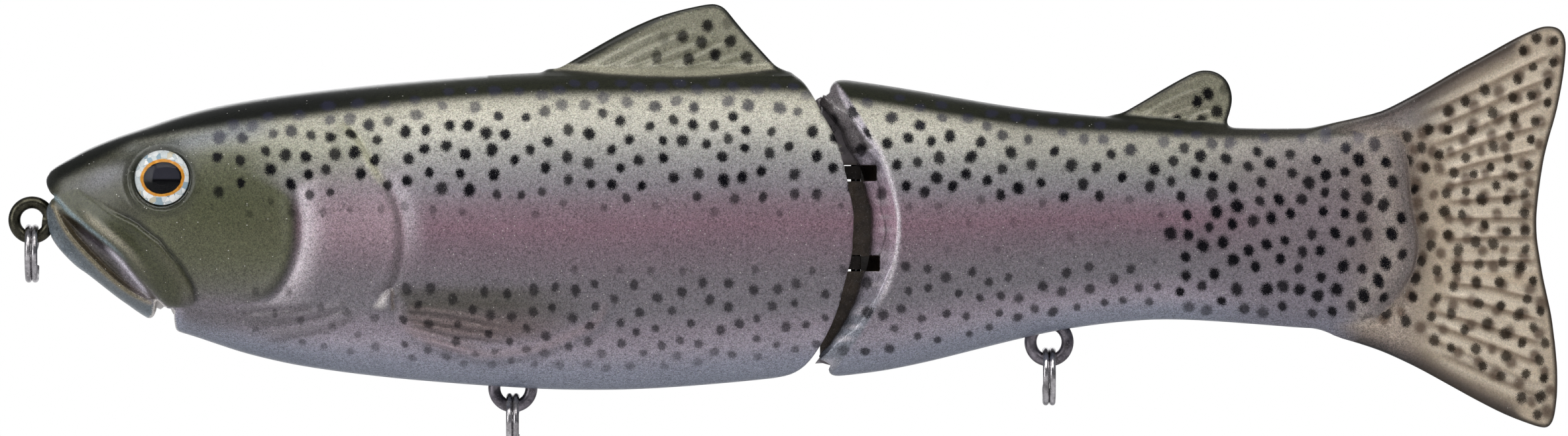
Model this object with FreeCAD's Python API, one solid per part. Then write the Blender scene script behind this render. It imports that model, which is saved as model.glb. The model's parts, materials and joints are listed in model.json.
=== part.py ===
import FreeCAD, Part
import math
import os
from FreeCAD import Vector as V

# Two-section glide swimbait, trout form, 250 mm class, in millimetres.
# The origin is the centre of the nose line-tie eye: +X runs from nose to tail,
# +Y to the fish's right, +Z to its back.
# A soft skin is moulded over a hard two-half core in each section. The sections turn
# on one upright hinge pin through two flat link plates.

# ---------------------------------------------------------------- dimensions
SKIN_T = 2.2                 # soft skin wall
FIT = 0.05                   # clearance between seated parts
CORE_T = 2.0                 # hard core wall
CORE_INSET = SKIN_T + FIT    # outer form to core surface
HOLLOW_INSET = CORE_INSET + CORE_T
SEAM_HALF = 0.015            # half the seam between core halves
FIN_HALF = 1.15              # half thickness of the fins

# core extents along X
FRONT_CAVITY_X = (6.8, 136.5)
FRONT_HOLLOW_X = (30.0, 106.0)
BULKHEAD_X = 128.0           # rear face of the front core
REAR_CAVITY_X = (124.0, 207.0)
REAR_HOLLOW_X = (147.0, 203.0)
CORE_SETBACK = 0.9           # front core trim surface ahead of the skin's rim

# hinge
PIN_X = 135.5                # upright hinge axis
PIN_R = 0.80                 # hinge and anchor pin radius
PIN_RUN = 0.06               # running clearance of a link plate on the pin
PIN_TOP = 13.0
PIN_BOTTOM = -19.6
PIN_BORE_FIT = 0.015         # radial clearance of the hinge pin in the rear core
PIN_END_GAP = 0.05
PLUG_R = 1.5
PLUG_BOTTOM = -22.6
PLUG_FIT = 0.02
LINK_Z = (7.80, -7.00)       # mid height of the upper and lower link plates
LINK_T = 2.2                 # link plate thickness
LINK_W = 6.4                 # link plate width
LINK_X0 = 112.0              # front end of a link plate
ANCHOR_X = 116.0             # anchor pin through both plates, in the front core
ANCHOR_FIT = 0.02
ANCHOR_PAST = 4.5            # anchor pin beyond each plate's mid height
ANCHOR_END_GAP = 0.1
SLOT_BELOW = 0.35            # slot clearance under a link plate
SLOT_ABOVE = 0.15
SLOT_END_GAP = 0.3           # slot clearance around a plate's rear end
TONGUE_HALF = 3.4            # half thickness of the rear section's tongue
TONGUE_INSET = 1.2           # outer form to the tongue's edge
SHOULDER = 4.4               # how far the shoulders slope forward from rim to tongue
RIM_Y = 12.2                 # half width where that slope starts

# wires and split rings
WIRE_R = 1.00                # hanger and line-tie wire radius
WAIST_R = WIRE_R * 1.02
WAIST_L = 2.4
LOOP_ROOM_FIT = 0.06         # clearance around an exposed loop
NOSE_LOOP_R = 2.90           # line-tie loops, centreline radius
HANG_LOOP_R = 3.05           # hook hanger loops, centreline radius
TIE_GAP = 6.6                # extra spacing between the line tie's two loops
HANG_GAP = 0.35              # extra spacing between a hanger's two loops
SHANK_R = WIRE_R * 0.72      # each of the line tie's two shank strands
SHANK_OFFSET = 0.62          # strand axis above and below the shank axis
SHANK_OVERLAP = 0.4          # each strand end run into its loop
TIE_NECK_R = 1.45            # bore around the line-tie shank
RING_OD = 9.60
RING_WIRE_R = 0.52
RING_PITCH = 1.07            # spacing of a split ring's two turns
RING_R = RING_OD / 2 - RING_WIRE_R
RING_GAP = 0.05              # ring wire to loop wire

UP = V(0, 0, 1)
NOSE_LOOP = V(0, 0, 0)
BELLY_LOOP = V(79.10, 0, -27.60)
REAR_LOOP = V(167.30, 0, -20.05)
TIE_DIR = V(1.0, 0, -0.12)
TIE_DIR.normalize()
TIE_NORMAL = V(0.12, 0, 1.0)
TIE_NORMAL.normalize()

# fish eyes
EYE_X, EYE_Y, EYE_Z = 21.8, 9.15, 6.9   # back of the foil, Y on each side
EYE_YAW = 10.0               # degrees turned toward the nose
EYE_LIFT = 0.10              # upward part of the eye's axis
EYE_R = 4.50
SOCKET_FIT = 0.12
SOCKET_DEPTH = 8.0
SOCKET_SINK = 0.02           # socket floor behind the foil
FOIL_T = 0.40
FOIL_GAP = 0.01              # foil to dome
DOME_EDGE_T = 0.45           # straight rim under the dome's curve
DOME_H = 1.45

# upright bosses and ribs left standing in the core hollows
FRONT_BOSS_HALF, FRONT_BOSS_UP = 6.0, 5.2
REAR_BOSS_HALF, REAR_BOSS_UP = 5.4, 5.0
FRONT_RIB_XS = (40.0, 56.0, 92.0, 104.5)
FRONT_RIB_HALF, FRONT_RIB_TOP = 1.2, -11.0
REAR_RIB_X, REAR_RIB_TOP = (152.0, 154.2), -8.0

# ballast rods: radius, front end (x, z), rear end (x, z)
HEAD_BALLAST = (4.6, (34.5, -14.6), (62.0, -17.2))
BELLY_BALLAST = (4.8, (87.0, -18.6), (109.0, -18.4))
REAR_BALLAST = (3.9, (148.2, -14.2), (160.0, -12.6))

# reach of cutting solids beyond the body
SIDE = 30
LOW = -40
FAR_Z = 60

# ---------------------------------------------------------------- outlines
# section stations: x, top z, bottom z, half width, z of greatest width
FRONT = [
    (1.7, 5.7, 0.4, 1.3, 3.2),
    (3.4, 8.4, -3.3, 3.3, 2.6),
    (6.0, 10.0, -6.7, 5.1, 1.9),
    (10.0, 12.1, -10.2, 7.0, 1.4),
    (15.0, 14.05, -14.0, 8.9, 1.0),
    (21.0, 16.05, -16.9, 10.6, 0.8),
    (28.0, 18.2, -19.5, 12.0, 0.5),
    (38.0, 20.1, -22.8, 13.4, 0.2),
    (50.0, 21.6, -24.95, 14.4, 0.0),
    (65.0, 23.1, -26.5, 15.0, -0.4),
    (82.0, 24.3, -27.85, 15.0, -0.6),
    (100.0, 24.75, -27.9, 14.6, -0.8),
    (118.0, 24.65, -26.9, 14.0, -0.8),
    (136.5, 22.8, -25.4, 13.3, -0.6),
]
REAR = [
    (124.0, 24.0, -26.3, 13.8, -0.7),
    (132.0, 23.2, -25.7, 13.5, -0.6),
    (142.0, 21.9, -24.5, 12.9, -0.5),
    (153.0, 20.1, -22.0, 11.9, -0.4),
    (166.0, 18.3, -18.9, 10.5, -0.2),
    (180.0, 17.0, -16.7, 8.8, 0.0),
    (194.0, 15.8, -16.7, 7.2, -0.2),
    (207.0, 15.2, -17.8, 5.7, -0.8),
    (218.0, 14.2, -16.9, 4.2, -0.9),
    (226.0, 12.2, -14.9, 2.9, -0.9),
    (233.0, 8.5, -11.0, 1.5, -0.9),
]
EXPONENT = 2.25       # superellipse exponent of each section
HALF_POINTS = 10      # points on each side of a section

# all outlines below are (x, z); rims run from back to belly
FRONT_RIM = [
    (121.0, 27.0), (123.4, 25.1), (125.6, 23.7), (127.7, 21.7), (129.5, 18.2),
    (131.9, 14.0), (133.8, 8.9), (134.9, 4.2), (135.2, -0.4), (134.9, -5.0), (134.2, -9.4),
    (132.7, -14.2), (130.6, -19.0), (127.9, -23.3), (125.3, -25.7), (121.0, -28.5),
]
REAR_RIM = [
    (128.8, 27.0), (132.4, 23.0), (135.0, 19.6), (137.6, 15.4), (139.7, 11.0),
    (141.3, 6.6), (142.3, 2.2), (142.6, -1.4), (142.2, -5.6), (141.2, -9.6),
    (139.5, -13.6), (137.2, -18.0), (134.6, -21.8), (131.9, -25.2), (128.0, -29.0),
]
TONGUE = [
    (129.95, 19.7), (130.6, 20.3), (134.5, 20.3), (146, 14.0), (146, -14.0),
    (134.5, -22.9), (131.4, -23.9), (129.6, -23.4),
]
THROAT_NOTCH = [
    (20.7, -17.6), (20.6, -15.2), (21.7, -14.2), (22.9, -14.5), (23.4, -15.8),
    (23.5, -19.5), (20.2, -19.5),
]
DORSAL = [
    (85.5, 24.2), (90.4, 27.3), (94.7, 29.6), (99.4, 31.9), (104.0, 33.7), (107.9, 34.8),
    (111.5, 35.45), (113.6, 35.4), (115.0, 34.5), (117.3, 31.7), (119.6, 28.8),
    (122.2, 25.6), (123.8, 24.1),
]
DORSAL_BASE_Z = 20.0
ADIPOSE = [
    (176.6, 16.9), (180.4, 18.6), (184.6, 21.0), (188.6, 23.1), (191.4, 24.3),
    (193.6, 24.7), (195.6, 24.1), (197.0, 22.3), (197.5, 20.2), (197.1, 18.0),
    (196.3, 16.0), (196.3, 15.2),
]
ADIPOSE_BASE_Z = 12.0
TAIL_TOP = [
    (206.0, 14.6), (212.8, 15.9), (217.1, 16.7), (221.5, 17.9), (225.9, 19.9),
    (230.2, 22.5), (234.6, 24.9), (239.0, 27.4), (243.3, 29.7), (246.6, 31.3),
    (249.2, 31.95), (251.3, 31.2), (252.25, 28.7),
]
TAIL_EDGE = [
    (252.25, 28.7), (251.9, 24.4), (250.9, 17.7), (250.1, 13.5), (248.9, 8.0),
    (247.8, 3.1), (247.4, -0.6), (247.7, -4.4), (248.4, -9.0), (249.4, -15.2),
    (250.3, -21.0), (250.9, -27.2), (250.3, -31.7),
]
TAIL_LOW = [
    (250.3, -31.7), (249.3, -33.9), (246.9, -33.95), (243.3, -32.5), (238.9, -30.5),
    (234.6, -28.4), (230.2, -26.1), (225.9, -23.7), (221.5, -21.6), (217.1, -19.9),
    (212.8, -18.7), (206.0, -17.2),
]


# ---------------------------------------------------------------- solid helpers
def box(x0, x1, y0, y1, z0, z1):
    return Part.makeBox(x1 - x0, y1 - y0, z1 - z0, V(x0, y0, z0))


def rod(radius, start, end):
    return Part.makeCylinder(radius, (end - start).Length, start, end - start)


def upright(radius, x, z0, z1):
    """Vertical cylinder in the mid plane."""
    return rod(radius, V(x, 0, z0), V(x, 0, z1))


def cross_disc(centre, radius, half_t):
    """Disc with its axis along Y, centred on the mid plane."""
    return Part.makeCylinder(radius, 2 * half_t, centre - V(0, half_t, 0), V(0, 1, 0))


def section(x, top, bottom, half_width, wide_z):
    """Closed superellipse wire with different heights above and below its widest point."""
    power = 2.0 / EXPONENT
    points = []
    for i in range(2 * HALF_POINTS):
        angle = math.pi * i / HALF_POINTS
        sine, cosine = math.sin(angle), math.cos(angle)
        height = (top - wide_z) if cosine >= 0 else (wide_z - bottom)
        y = half_width * math.copysign(abs(sine) ** power, sine)
        z = wide_z + height * math.copysign(abs(cosine) ** power, cosine)
        points.append(V(x, y, z))
    curve = Part.BSplineCurve()
    curve.interpolate(Points=points, PeriodicFlag=True)
    return Part.Wire([curve.toShape()])


def body(stations, inset):
    """Lofted solid with every section drawn in by inset."""
    wires = [section(x, top - inset, bottom + inset, half_width - inset, wide_z)
             for x, top, bottom, half_width, wide_z in stations]
    return Part.makeLoft(wires, True, False, False)


def stations_between(stations, x0, x1):
    """Stations between x0 and x1, with interpolated ones added exactly at both ends."""
    def at(x):
        for a, b in zip(stations, stations[1:]):
            if a[0] <= x <= b[0]:
                t = (x - a[0]) / (b[0] - a[0])
                return tuple([x] + [a[i] + t * (b[i] - a[i]) for i in range(1, 5)])
        raise ValueError(x)
    # stations close to an end are dropped to keep the loft smooth
    inside = [s for s in stations if x0 + 1.5 < s[0] < x1 - 1.5]
    return [at(x0)] + inside + [at(x1)]


def spline_edge(outline, y):
    curve = Part.BSplineCurve()
    curve.interpolate([V(x, y, z) for x, z in outline])
    return curve.toShape()


def region(outline, corners, y, push):
    """Face at y inside a spline and straight lines through corners, extruded along push."""
    chain = [outline[-1]] + corners + [outline[0]]
    edges = [spline_edge(outline, y)]
    for a, b in zip(chain, chain[1:]):
        edges.append(Part.makeLine(V(a[0], y, a[1]), V(b[0], y, b[1])))
    return Part.Face(Part.Wire(edges)).extrude(push)


def slab(outline, corners, half_y):
    """Region extruded evenly about the mid plane."""
    return region(outline, corners, -half_y, V(0, 2 * half_y, 0))


def polygon_slab(outline, half_y):
    points = [V(x, -half_y, z) for x, z in outline + outline[:1]]
    return Part.Face(Part.makePolygon(points)).extrude(V(0, 2 * half_y, 0))


def fin(outline, base_z):
    return slab(outline, [(outline[-1][0], base_z), (outline[0][0], base_z)], FIN_HALF)


def cut_all(shape, tools):
    for tool in tools:
        shape = shape.cut(tool)
    return shape


def save(name, shape, least=0.5):
    """Write the solids larger than least cubic millimetres as one STEP file."""
    found = [s for s in shape.Solids if s.Volume > least]
    if not found:
        raise RuntimeError(name + " has no solid")
    piece = found[0] if len(found) == 1 else Part.makeCompound(found)
    if not piece.isValid():
        piece.fix(1e-4, 1e-4, 1e-3)
    piece.exportStep(os.path.join("parts", name + ".step"))


def save_halves(name, core):
    """Split a core at the mid plane with a hairline seam and save both halves."""
    left = box(-20, 270, -40, -SEAM_HALF, -FAR_Z, FAR_Z)
    right = box(-20, 270, SEAM_HALF, 40, -FAR_Z, FAR_Z)
    save(name + "_left", core.common(left), 5)
    save(name + "_right", core.common(right), 5)


# ---------------------------------------------------------------- wires, rings, ballast
def loop_wire(centre, direction, loop_r, gap):
    """Figure-eight wire in the mid plane; also gives the centre of its buried loop."""
    buried = centre + direction * (2 * loop_r + gap)
    exposed_loop = Part.makeTorus(loop_r, WIRE_R, centre, V(0, 1, 0))
    buried_loop = Part.makeTorus(loop_r, WIRE_R, buried, V(0, 1, 0))
    waist_start = centre + direction * (loop_r - WAIST_L / 2)
    waist = Part.makeCylinder(WAIST_R, WAIST_L, waist_start, direction)
    return exposed_loop.fuse(buried_loop).fuse(waist), buried


def loop_room(centre, loop_r):
    """Disc of room around an exposed loop."""
    return cross_disc(centre, loop_r + WIRE_R + LOOP_ROOM_FIT, WIRE_R + LOOP_ROOM_FIT)


def loop_pocket(centre, buried, loop_r):
    """Room for the buried loop and the waist, with the middle left as a peg."""
    outer = cross_disc(buried, loop_r + WIRE_R + FIT, WIRE_R + FIT)
    peg = cross_disc(buried, loop_r - WIRE_R - FIT, WIRE_R + FIT)
    axis = buried - centre
    neck = Part.makeCylinder(WAIST_R + FIT + 0.05, axis.Length - loop_r + 0.3, centre, axis)
    return outer.cut(peg).fuse(neck)


def line_tie():
    """Long figure-eight wire with a two-strand shank between its loops."""
    wire, buried = loop_wire(NOSE_LOOP, TIE_DIR, NOSE_LOOP_R, TIE_GAP)
    for offset in (SHANK_OFFSET, -SHANK_OFFSET):
        start = TIE_DIR * (NOSE_LOOP_R - SHANK_OVERLAP) + TIE_NORMAL * offset
        strand = Part.makeCylinder(SHANK_R, TIE_GAP + 2 * SHANK_OVERLAP, start, TIE_DIR)
        wire = wire.fuse(strand)
    return wire, buried


def split_ring(loop_centre, loop_r):
    """Two-turn ring of round wire in the YZ plane, hanging in a wire loop."""
    half_pitch = RING_PITCH / 2
    # its own top wire settles below the loop's centre, clear of the loop wire
    reach = loop_r - WIRE_R - RING_WIRE_R - RING_GAP
    centre_z = loop_centre.z - math.sqrt(reach ** 2 - half_pitch ** 2) - RING_R
    points = []
    for degrees in range(30, 691, 10):
        # one flat turn, a smooth step across, then the other flat turn
        t = min(max((degrees - 330.0) / 60.0, 0.0), 1.0)
        x = -half_pitch + 2 * half_pitch * (t * t * (3 - 2 * t))
        angle = math.radians(degrees)
        points.append(V(loop_centre.x + x, RING_R * math.cos(angle),
                        centre_z + RING_R * math.sin(angle)))
    curve = Part.BSplineCurve()
    curve.interpolate(points)
    start = curve.value(curve.FirstParameter)
    tangent = curve.tangent(curve.FirstParameter)[0]
    pipe = Part.BRepOffsetAPI.MakePipeShell(Part.Wire([curve.toShape()]))
    pipe.setFrenetMode(False)
    pipe.setBiNormalMode(V(1, 0, 0))
    pipe.add(Part.Wire([Part.makeCircle(RING_WIRE_R, start, tangent)]))
    pipe.build()
    pipe.makeSolid()
    ring = pipe.shape()
    return ring if ring.ShapeType == "Solid" else Part.Solid(ring)


def ballast(spec, fit=0.0, end_gap=0.0):
    """Ballast rod, or its room when given clearances."""
    radius, front, rear = spec
    return rod(radius + fit, V(front[0] - end_gap, 0, front[1]),
               V(rear[0] + end_gap, 0, rear[1]))


def ballast_room(spec):
    return ballast(spec, FIT, 0.1)


# ---------------------------------------------------------------- eyes
def eye(side):
    """Socket cutter, foil disc and clear dome; side is -1 for left, 1 for right."""
    yaw = math.radians(EYE_YAW)
    axis = V(-math.sin(yaw), side * math.cos(yaw), EYE_LIFT)
    axis.normalize()
    base = V(EYE_X, side * EYE_Y, EYE_Z)
    socket = Part.makeCylinder(EYE_R + SOCKET_FIT, SOCKET_DEPTH,
                               base - axis * SOCKET_SINK, axis)
    foil = Part.makeCylinder(EYE_R, FOIL_T, base, axis)
    dome_base = FOIL_T + FOIL_GAP
    dome_r = (EYE_R ** 2 + DOME_H ** 2) / (2 * DOME_H)
    sphere_at = dome_base + DOME_EDGE_T + DOME_H - dome_r
    sphere = Part.makeSphere(dome_r, base + axis * sphere_at)
    block = Part.makeCylinder(EYE_R, DOME_EDGE_T + DOME_H + 0.2,
                              base + axis * dome_base, axis)
    return socket, foil, block.common(sphere)


# ---------------------------------------------------------------- hinge
def link_plate(z):
    """Flat plate with round ends, bored for the hinge and anchor pins."""
    z0, z1 = z - LINK_T / 2, z + LINK_T / 2
    end_r = LINK_W / 2
    plate = box(LINK_X0 + end_r, PIN_X, -end_r, end_r, z0, z1)
    plate = plate.fuse(upright(end_r, PIN_X, z0, z1))
    plate = plate.fuse(upright(end_r, LINK_X0 + end_r, z0, z1))
    plate = plate.removeSplitter()
    plate = plate.cut(upright(PIN_R + PIN_RUN, PIN_X, z - 3, z + 3))
    return plate.cut(upright(PIN_R + ANCHOR_FIT, ANCHOR_X, z - 3, z + 3))


def link_room(z):
    """Pocket for a link plate in the front core, open to the rear."""
    half_y = LINK_W / 2 + FIT
    half_z = LINK_T / 2 + FIT
    return box(LINK_X0 - FIT, BULKHEAD_X + 5, -half_y, half_y, z - half_z, z + half_z)


def link_slot(z):
    """Slot across the rear section that lets a link plate turn."""
    z0 = z - LINK_T / 2 - SLOT_BELOW
    z1 = z + LINK_T / 2 + SLOT_ABOVE
    slot = box(120, PIN_X, -SIDE, SIDE, z0, z1)
    return slot.fuse(upright(LINK_W / 2 + SLOT_END_GAP, PIN_X, z0, z1))


def anchor_pin(fit=0.0, end_gap=0.0):
    """Anchor pin, or its bore when given clearances."""
    past = ANCHOR_PAST + end_gap
    return upright(PIN_R + fit, ANCHOR_X, LINK_Z[1] - past, LINK_Z[0] + past)


# ---------------------------------------------------------------- trimming forms
def ahead_of_rim(setback):
    """Everything ahead of the front rim, with the rim moved forward by setback."""
    rim = [(x - setback, z) for x, z in FRONT_RIM]
    end_x = rim[0][0]
    corners = [(end_x, -FAR_Z), (-30, -FAR_Z), (-30, FAR_Z), (end_x, FAR_Z)]
    return slab(rim, corners, SIDE)


def behind_rim():
    """Everything behind the rear rim, its shoulders sloping forward to the tongue."""
    def strip(forward, y, push):
        rim = [(x - forward, z) for x, z in REAR_RIM]
        corners = [(rim[-1][0], -70), (300, -70), (300, 70), (rim[0][0], 70)]
        return region(rim, corners, y, push)

    outer_push = V(0, 40 - RIM_Y, 0)
    slope_y = RIM_Y - TONGUE_HALF
    outside_left = strip(0, -40, outer_push)
    outside_right = strip(0, RIM_Y, outer_push)
    slope_left = strip(0, -RIM_Y, V(-SHOULDER, slope_y, 0))
    slope_right = strip(0, RIM_Y, V(-SHOULDER, -slope_y, 0))
    middle = strip(SHOULDER, -TONGUE_HALF, V(0, 2 * TONGUE_HALF, 0))
    behind = outside_left.fuse([slope_left, middle, slope_right, outside_right])
    # shorten the middle strip above and below the tongue
    behind = behind.cut(box(100, 131.2, -4, 4, 20.4, 80))
    return behind.cut(box(100, 131.2, -4, 4, -80, -24.4))


# ---------------------------------------------------------------- front section
def front_skin(stations, notch, sockets, wire_rooms):
    ahead = ahead_of_rim(0)
    skin = body(FRONT, 0.0).common(ahead)
    skin = skin.fuse(fin(DORSAL, DORSAL_BASE_Z).common(ahead))
    skin = skin.cut(body(stations, SKIN_T)).cut(notch)
    return cut_all(skin, sockets + wire_rooms)


def front_core(stations, notch, boss_centre, wire_rooms):
    """Shell with a solid nose and bulkhead, a boss for the hanger and four ribs."""
    core = body(stations, CORE_INSET)
    core = core.common(box(FRONT_CAVITY_X[0] + FIT, BULKHEAD_X, -SIDE, SIDE, LOW, 40))
    core = core.common(ahead_of_rim(CORE_SETBACK))
    hollow = body(stations_between(FRONT, *FRONT_HOLLOW_X), HOLLOW_INSET)
    bosses = box(boss_centre.x - FRONT_BOSS_HALF, boss_centre.x + FRONT_BOSS_HALF,
                 -SIDE, SIDE, LOW, boss_centre.z + FRONT_BOSS_UP)
    for x in FRONT_RIB_XS:
        bosses = bosses.fuse(box(x - FRONT_RIB_HALF, x + FRONT_RIB_HALF,
                                 -SIDE, SIDE, LOW, FRONT_RIB_TOP))
    core = core.cut(hollow.cut(bosses))
    core = core.cut(ballast_room(HEAD_BALLAST)).cut(ballast_room(BELLY_BALLAST))
    core = cut_all(core.cut(notch), wire_rooms)
    core = cut_all(core, [link_room(z) for z in LINK_Z])
    return core.cut(anchor_pin(ANCHOR_FIT, ANCHOR_END_GAP))


# ---------------------------------------------------------------- rear section
def tail_fin():
    y = -FIN_HALF
    edges = [spline_edge(outline, y) for outline in (TAIL_TOP, TAIL_EDGE, TAIL_LOW)]
    low, top = TAIL_LOW[-1], TAIL_TOP[0]
    edges.append(Part.makeLine(V(low[0], y, low[1]), V(top[0], y, top[1])))
    return Part.Face(Part.Wire(edges)).extrude(V(0, 2 * FIN_HALF, 0))


def rear_skin(stations, behind, tongue_body, loop_space, pocket, slots):
    skin = body(REAR, 0.0).common(behind)
    skin = skin.fuse(tail_fin()).fuse(fin(ADIPOSE, ADIPOSE_BASE_Z))
    skin = skin.cut(body(stations, SKIN_T))
    half_y = TONGUE_HALF + FIT
    skin = skin.cut(tongue_body.common(box(100, 140, -half_y, half_y, -FAR_Z, FAR_Z)))
    return cut_all(skin, [loop_space, pocket] + slots)


def rear_core(stations, behind, tongue_body, boss_centre, loop_space, pocket, slots):
    """Shell with a forward tongue, a boss for the hanger and one rib."""
    core = body(stations, CORE_INSET).common(behind)
    core = core.common(box(100, REAR_CAVITY_X[1] - FIT, -SIDE, SIDE, LOW, 40))
    core = core.fuse(polygon_slab(TONGUE, TONGUE_HALF).common(tongue_body))
    hollow = body(stations_between(REAR, *REAR_HOLLOW_X), HOLLOW_INSET)
    bosses = box(boss_centre.x - REAR_BOSS_HALF, boss_centre.x + REAR_BOSS_HALF,
                 -SIDE, SIDE, LOW, boss_centre.z + REAR_BOSS_UP)
    bosses = bosses.fuse(box(*REAR_RIB_X, -SIDE, SIDE, LOW, REAR_RIB_TOP))
    core = core.cut(hollow.cut(bosses)).cut(ballast_room(REAR_BALLAST))
    core = cut_all(core, [pocket, loop_space] + slots)
    # stepped bore from below for the hinge pin and its plug
    core = core.cut(upright(PIN_R + PIN_BORE_FIT, PIN_X,
                            PIN_BOTTOM - PIN_END_GAP, PIN_TOP + PIN_END_GAP))
    return core.cut(upright(PLUG_R + PLUG_FIT, PIN_X,
                            PLUG_BOTTOM - PLUG_FIT, PIN_BOTTOM - PLUG_FIT))


# ---------------------------------------------------------------- build and write
os.makedirs("parts", exist_ok=True)

tie, tie_buried = line_tie()
tie_neck = Part.makeCylinder(TIE_NECK_R, tie_buried.Length - NOSE_LOOP_R + 0.5,
                             NOSE_LOOP, TIE_DIR)
tie_room = loop_room(NOSE_LOOP, NOSE_LOOP_R)
tie_pocket = loop_pocket(NOSE_LOOP, tie_buried, NOSE_LOOP_R)
belly_hanger, belly_buried = loop_wire(BELLY_LOOP, UP, HANG_LOOP_R, HANG_GAP)
belly_room = loop_room(BELLY_LOOP, HANG_LOOP_R)
belly_pocket = loop_pocket(BELLY_LOOP, belly_buried, HANG_LOOP_R)
rear_hanger, rear_buried = loop_wire(REAR_LOOP, UP, HANG_LOOP_R, HANG_GAP)
rear_room = loop_room(REAR_LOOP, HANG_LOOP_R)
rear_pocket = loop_pocket(REAR_LOOP, rear_buried, HANG_LOOP_R)

eye_sockets = []
for side_name, side in (("left", -1), ("right", 1)):
    socket, foil, dome = eye(side)
    eye_sockets.append(socket)
    save(side_name + "_eye_foil", foil)
    save(side_name + "_eye_dome", dome)

front_stations = stations_between(FRONT, *FRONT_CAVITY_X)
throat_notch = polygon_slab(THROAT_NOTCH, 20)   # between lower jaw and throat
save("front_skin", front_skin(
    front_stations, throat_notch, eye_sockets,
    [tie_neck, tie_room, tie_pocket, belly_room, belly_pocket]), 20)
save_halves("front_core", front_core(
    front_stations, throat_notch, belly_buried,
    [tie_pocket, tie_neck, belly_pocket, belly_room, tie_room]))

rear_stations = stations_between(REAR, *REAR_CAVITY_X)
rear_trim = behind_rim()
tongue_form = body(stations_between(REAR, 124.0, 150.0), TONGUE_INSET)
link_slots = [link_slot(z) for z in LINK_Z]
save("rear_skin", rear_skin(
    rear_stations, rear_trim, tongue_form, rear_room, rear_pocket, link_slots), 20)
save_halves("rear_core", rear_core(
    rear_stations, rear_trim, tongue_form, rear_buried, rear_room, rear_pocket, link_slots))

save("line_tie_wire", tie)
save("belly_hanger", belly_hanger)
save("rear_hanger", rear_hanger)
save("nose_split_ring", split_ring(NOSE_LOOP, NOSE_LOOP_R))
save("belly_split_ring", split_ring(BELLY_LOOP, HANG_LOOP_R))
save("rear_split_ring", split_ring(REAR_LOOP, HANG_LOOP_R))
save("head_ballast", ballast(HEAD_BALLAST))
save("belly_ballast", ballast(BELLY_BALLAST))
save("rear_ballast", ballast(REAR_BALLAST))
save("upper_link_plate", link_plate(LINK_Z[0]))
save("lower_link_plate", link_plate(LINK_Z[1]))
save("link_anchor_pin", anchor_pin())
save("hinge_pin", upright(PIN_R, PIN_X, PIN_BOTTOM, PIN_TOP))
save("hinge_pin_plug", upright(PLUG_R, PIN_X, PLUG_BOTTOM, PIN_BOTTOM - PIN_END_GAP))
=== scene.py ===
import json
import math
import bpy
import numpy as np
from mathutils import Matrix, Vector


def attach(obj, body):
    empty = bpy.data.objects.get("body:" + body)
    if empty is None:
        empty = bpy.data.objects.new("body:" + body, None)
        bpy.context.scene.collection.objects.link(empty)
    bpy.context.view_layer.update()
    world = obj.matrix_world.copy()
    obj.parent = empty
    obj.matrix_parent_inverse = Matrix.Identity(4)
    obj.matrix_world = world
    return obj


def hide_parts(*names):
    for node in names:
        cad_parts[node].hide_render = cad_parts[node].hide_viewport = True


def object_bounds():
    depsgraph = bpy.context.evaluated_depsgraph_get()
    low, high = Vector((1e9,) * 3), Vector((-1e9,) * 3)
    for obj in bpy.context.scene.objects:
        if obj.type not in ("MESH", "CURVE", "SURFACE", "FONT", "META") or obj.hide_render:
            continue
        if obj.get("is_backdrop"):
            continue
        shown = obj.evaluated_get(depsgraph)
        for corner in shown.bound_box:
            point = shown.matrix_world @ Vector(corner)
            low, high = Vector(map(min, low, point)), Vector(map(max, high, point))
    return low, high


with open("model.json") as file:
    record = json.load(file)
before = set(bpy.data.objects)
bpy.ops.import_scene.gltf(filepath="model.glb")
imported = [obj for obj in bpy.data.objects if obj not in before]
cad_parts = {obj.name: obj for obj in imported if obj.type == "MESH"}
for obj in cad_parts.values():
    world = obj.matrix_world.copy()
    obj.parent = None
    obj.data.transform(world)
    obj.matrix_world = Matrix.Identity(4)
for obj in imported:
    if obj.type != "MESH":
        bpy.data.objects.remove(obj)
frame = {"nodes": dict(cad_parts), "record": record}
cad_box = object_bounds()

f32 = np.float32
MM = 0.001
FINE = 0.36     # mesh step, millimetres

# =====================================================================
# numbers: curve helpers
# =====================================================================


def S(t):
    t = np.clip(t, 0.0, 1.0)
    return t * t * (3 - 2 * t)


def spline(xs, ys, q):
    """Natural cubic spline through xs, ys, read at q."""
    xs, ys = np.asarray(xs, float), np.asarray(ys, float)
    n = len(xs)
    h = np.diff(xs)
    A = np.eye(n)
    b = np.zeros(n)
    for i in range(1, n - 1):
        A[i, i - 1], A[i, i], A[i, i + 1] = h[i - 1], 2 * (h[i - 1] + h[i]), h[i]
        b[i] = 3 * ((ys[i + 1] - ys[i]) / h[i] - (ys[i] - ys[i - 1]) / h[i - 1])
    c = np.linalg.solve(A, b)
    q = np.clip(q, xs[0], xs[-1])
    i = np.clip(np.searchsorted(xs, q) - 1, 0, n - 2)
    t = q - xs[i]
    bb = (ys[i + 1] - ys[i]) / h[i] - h[i] * (2 * c[i] + c[i + 1]) / 3
    d = (c[i + 1] - c[i]) / (3 * h[i])
    return ys[i] + bb * t + c[i] * t ** 2 + d * t ** 3


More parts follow.
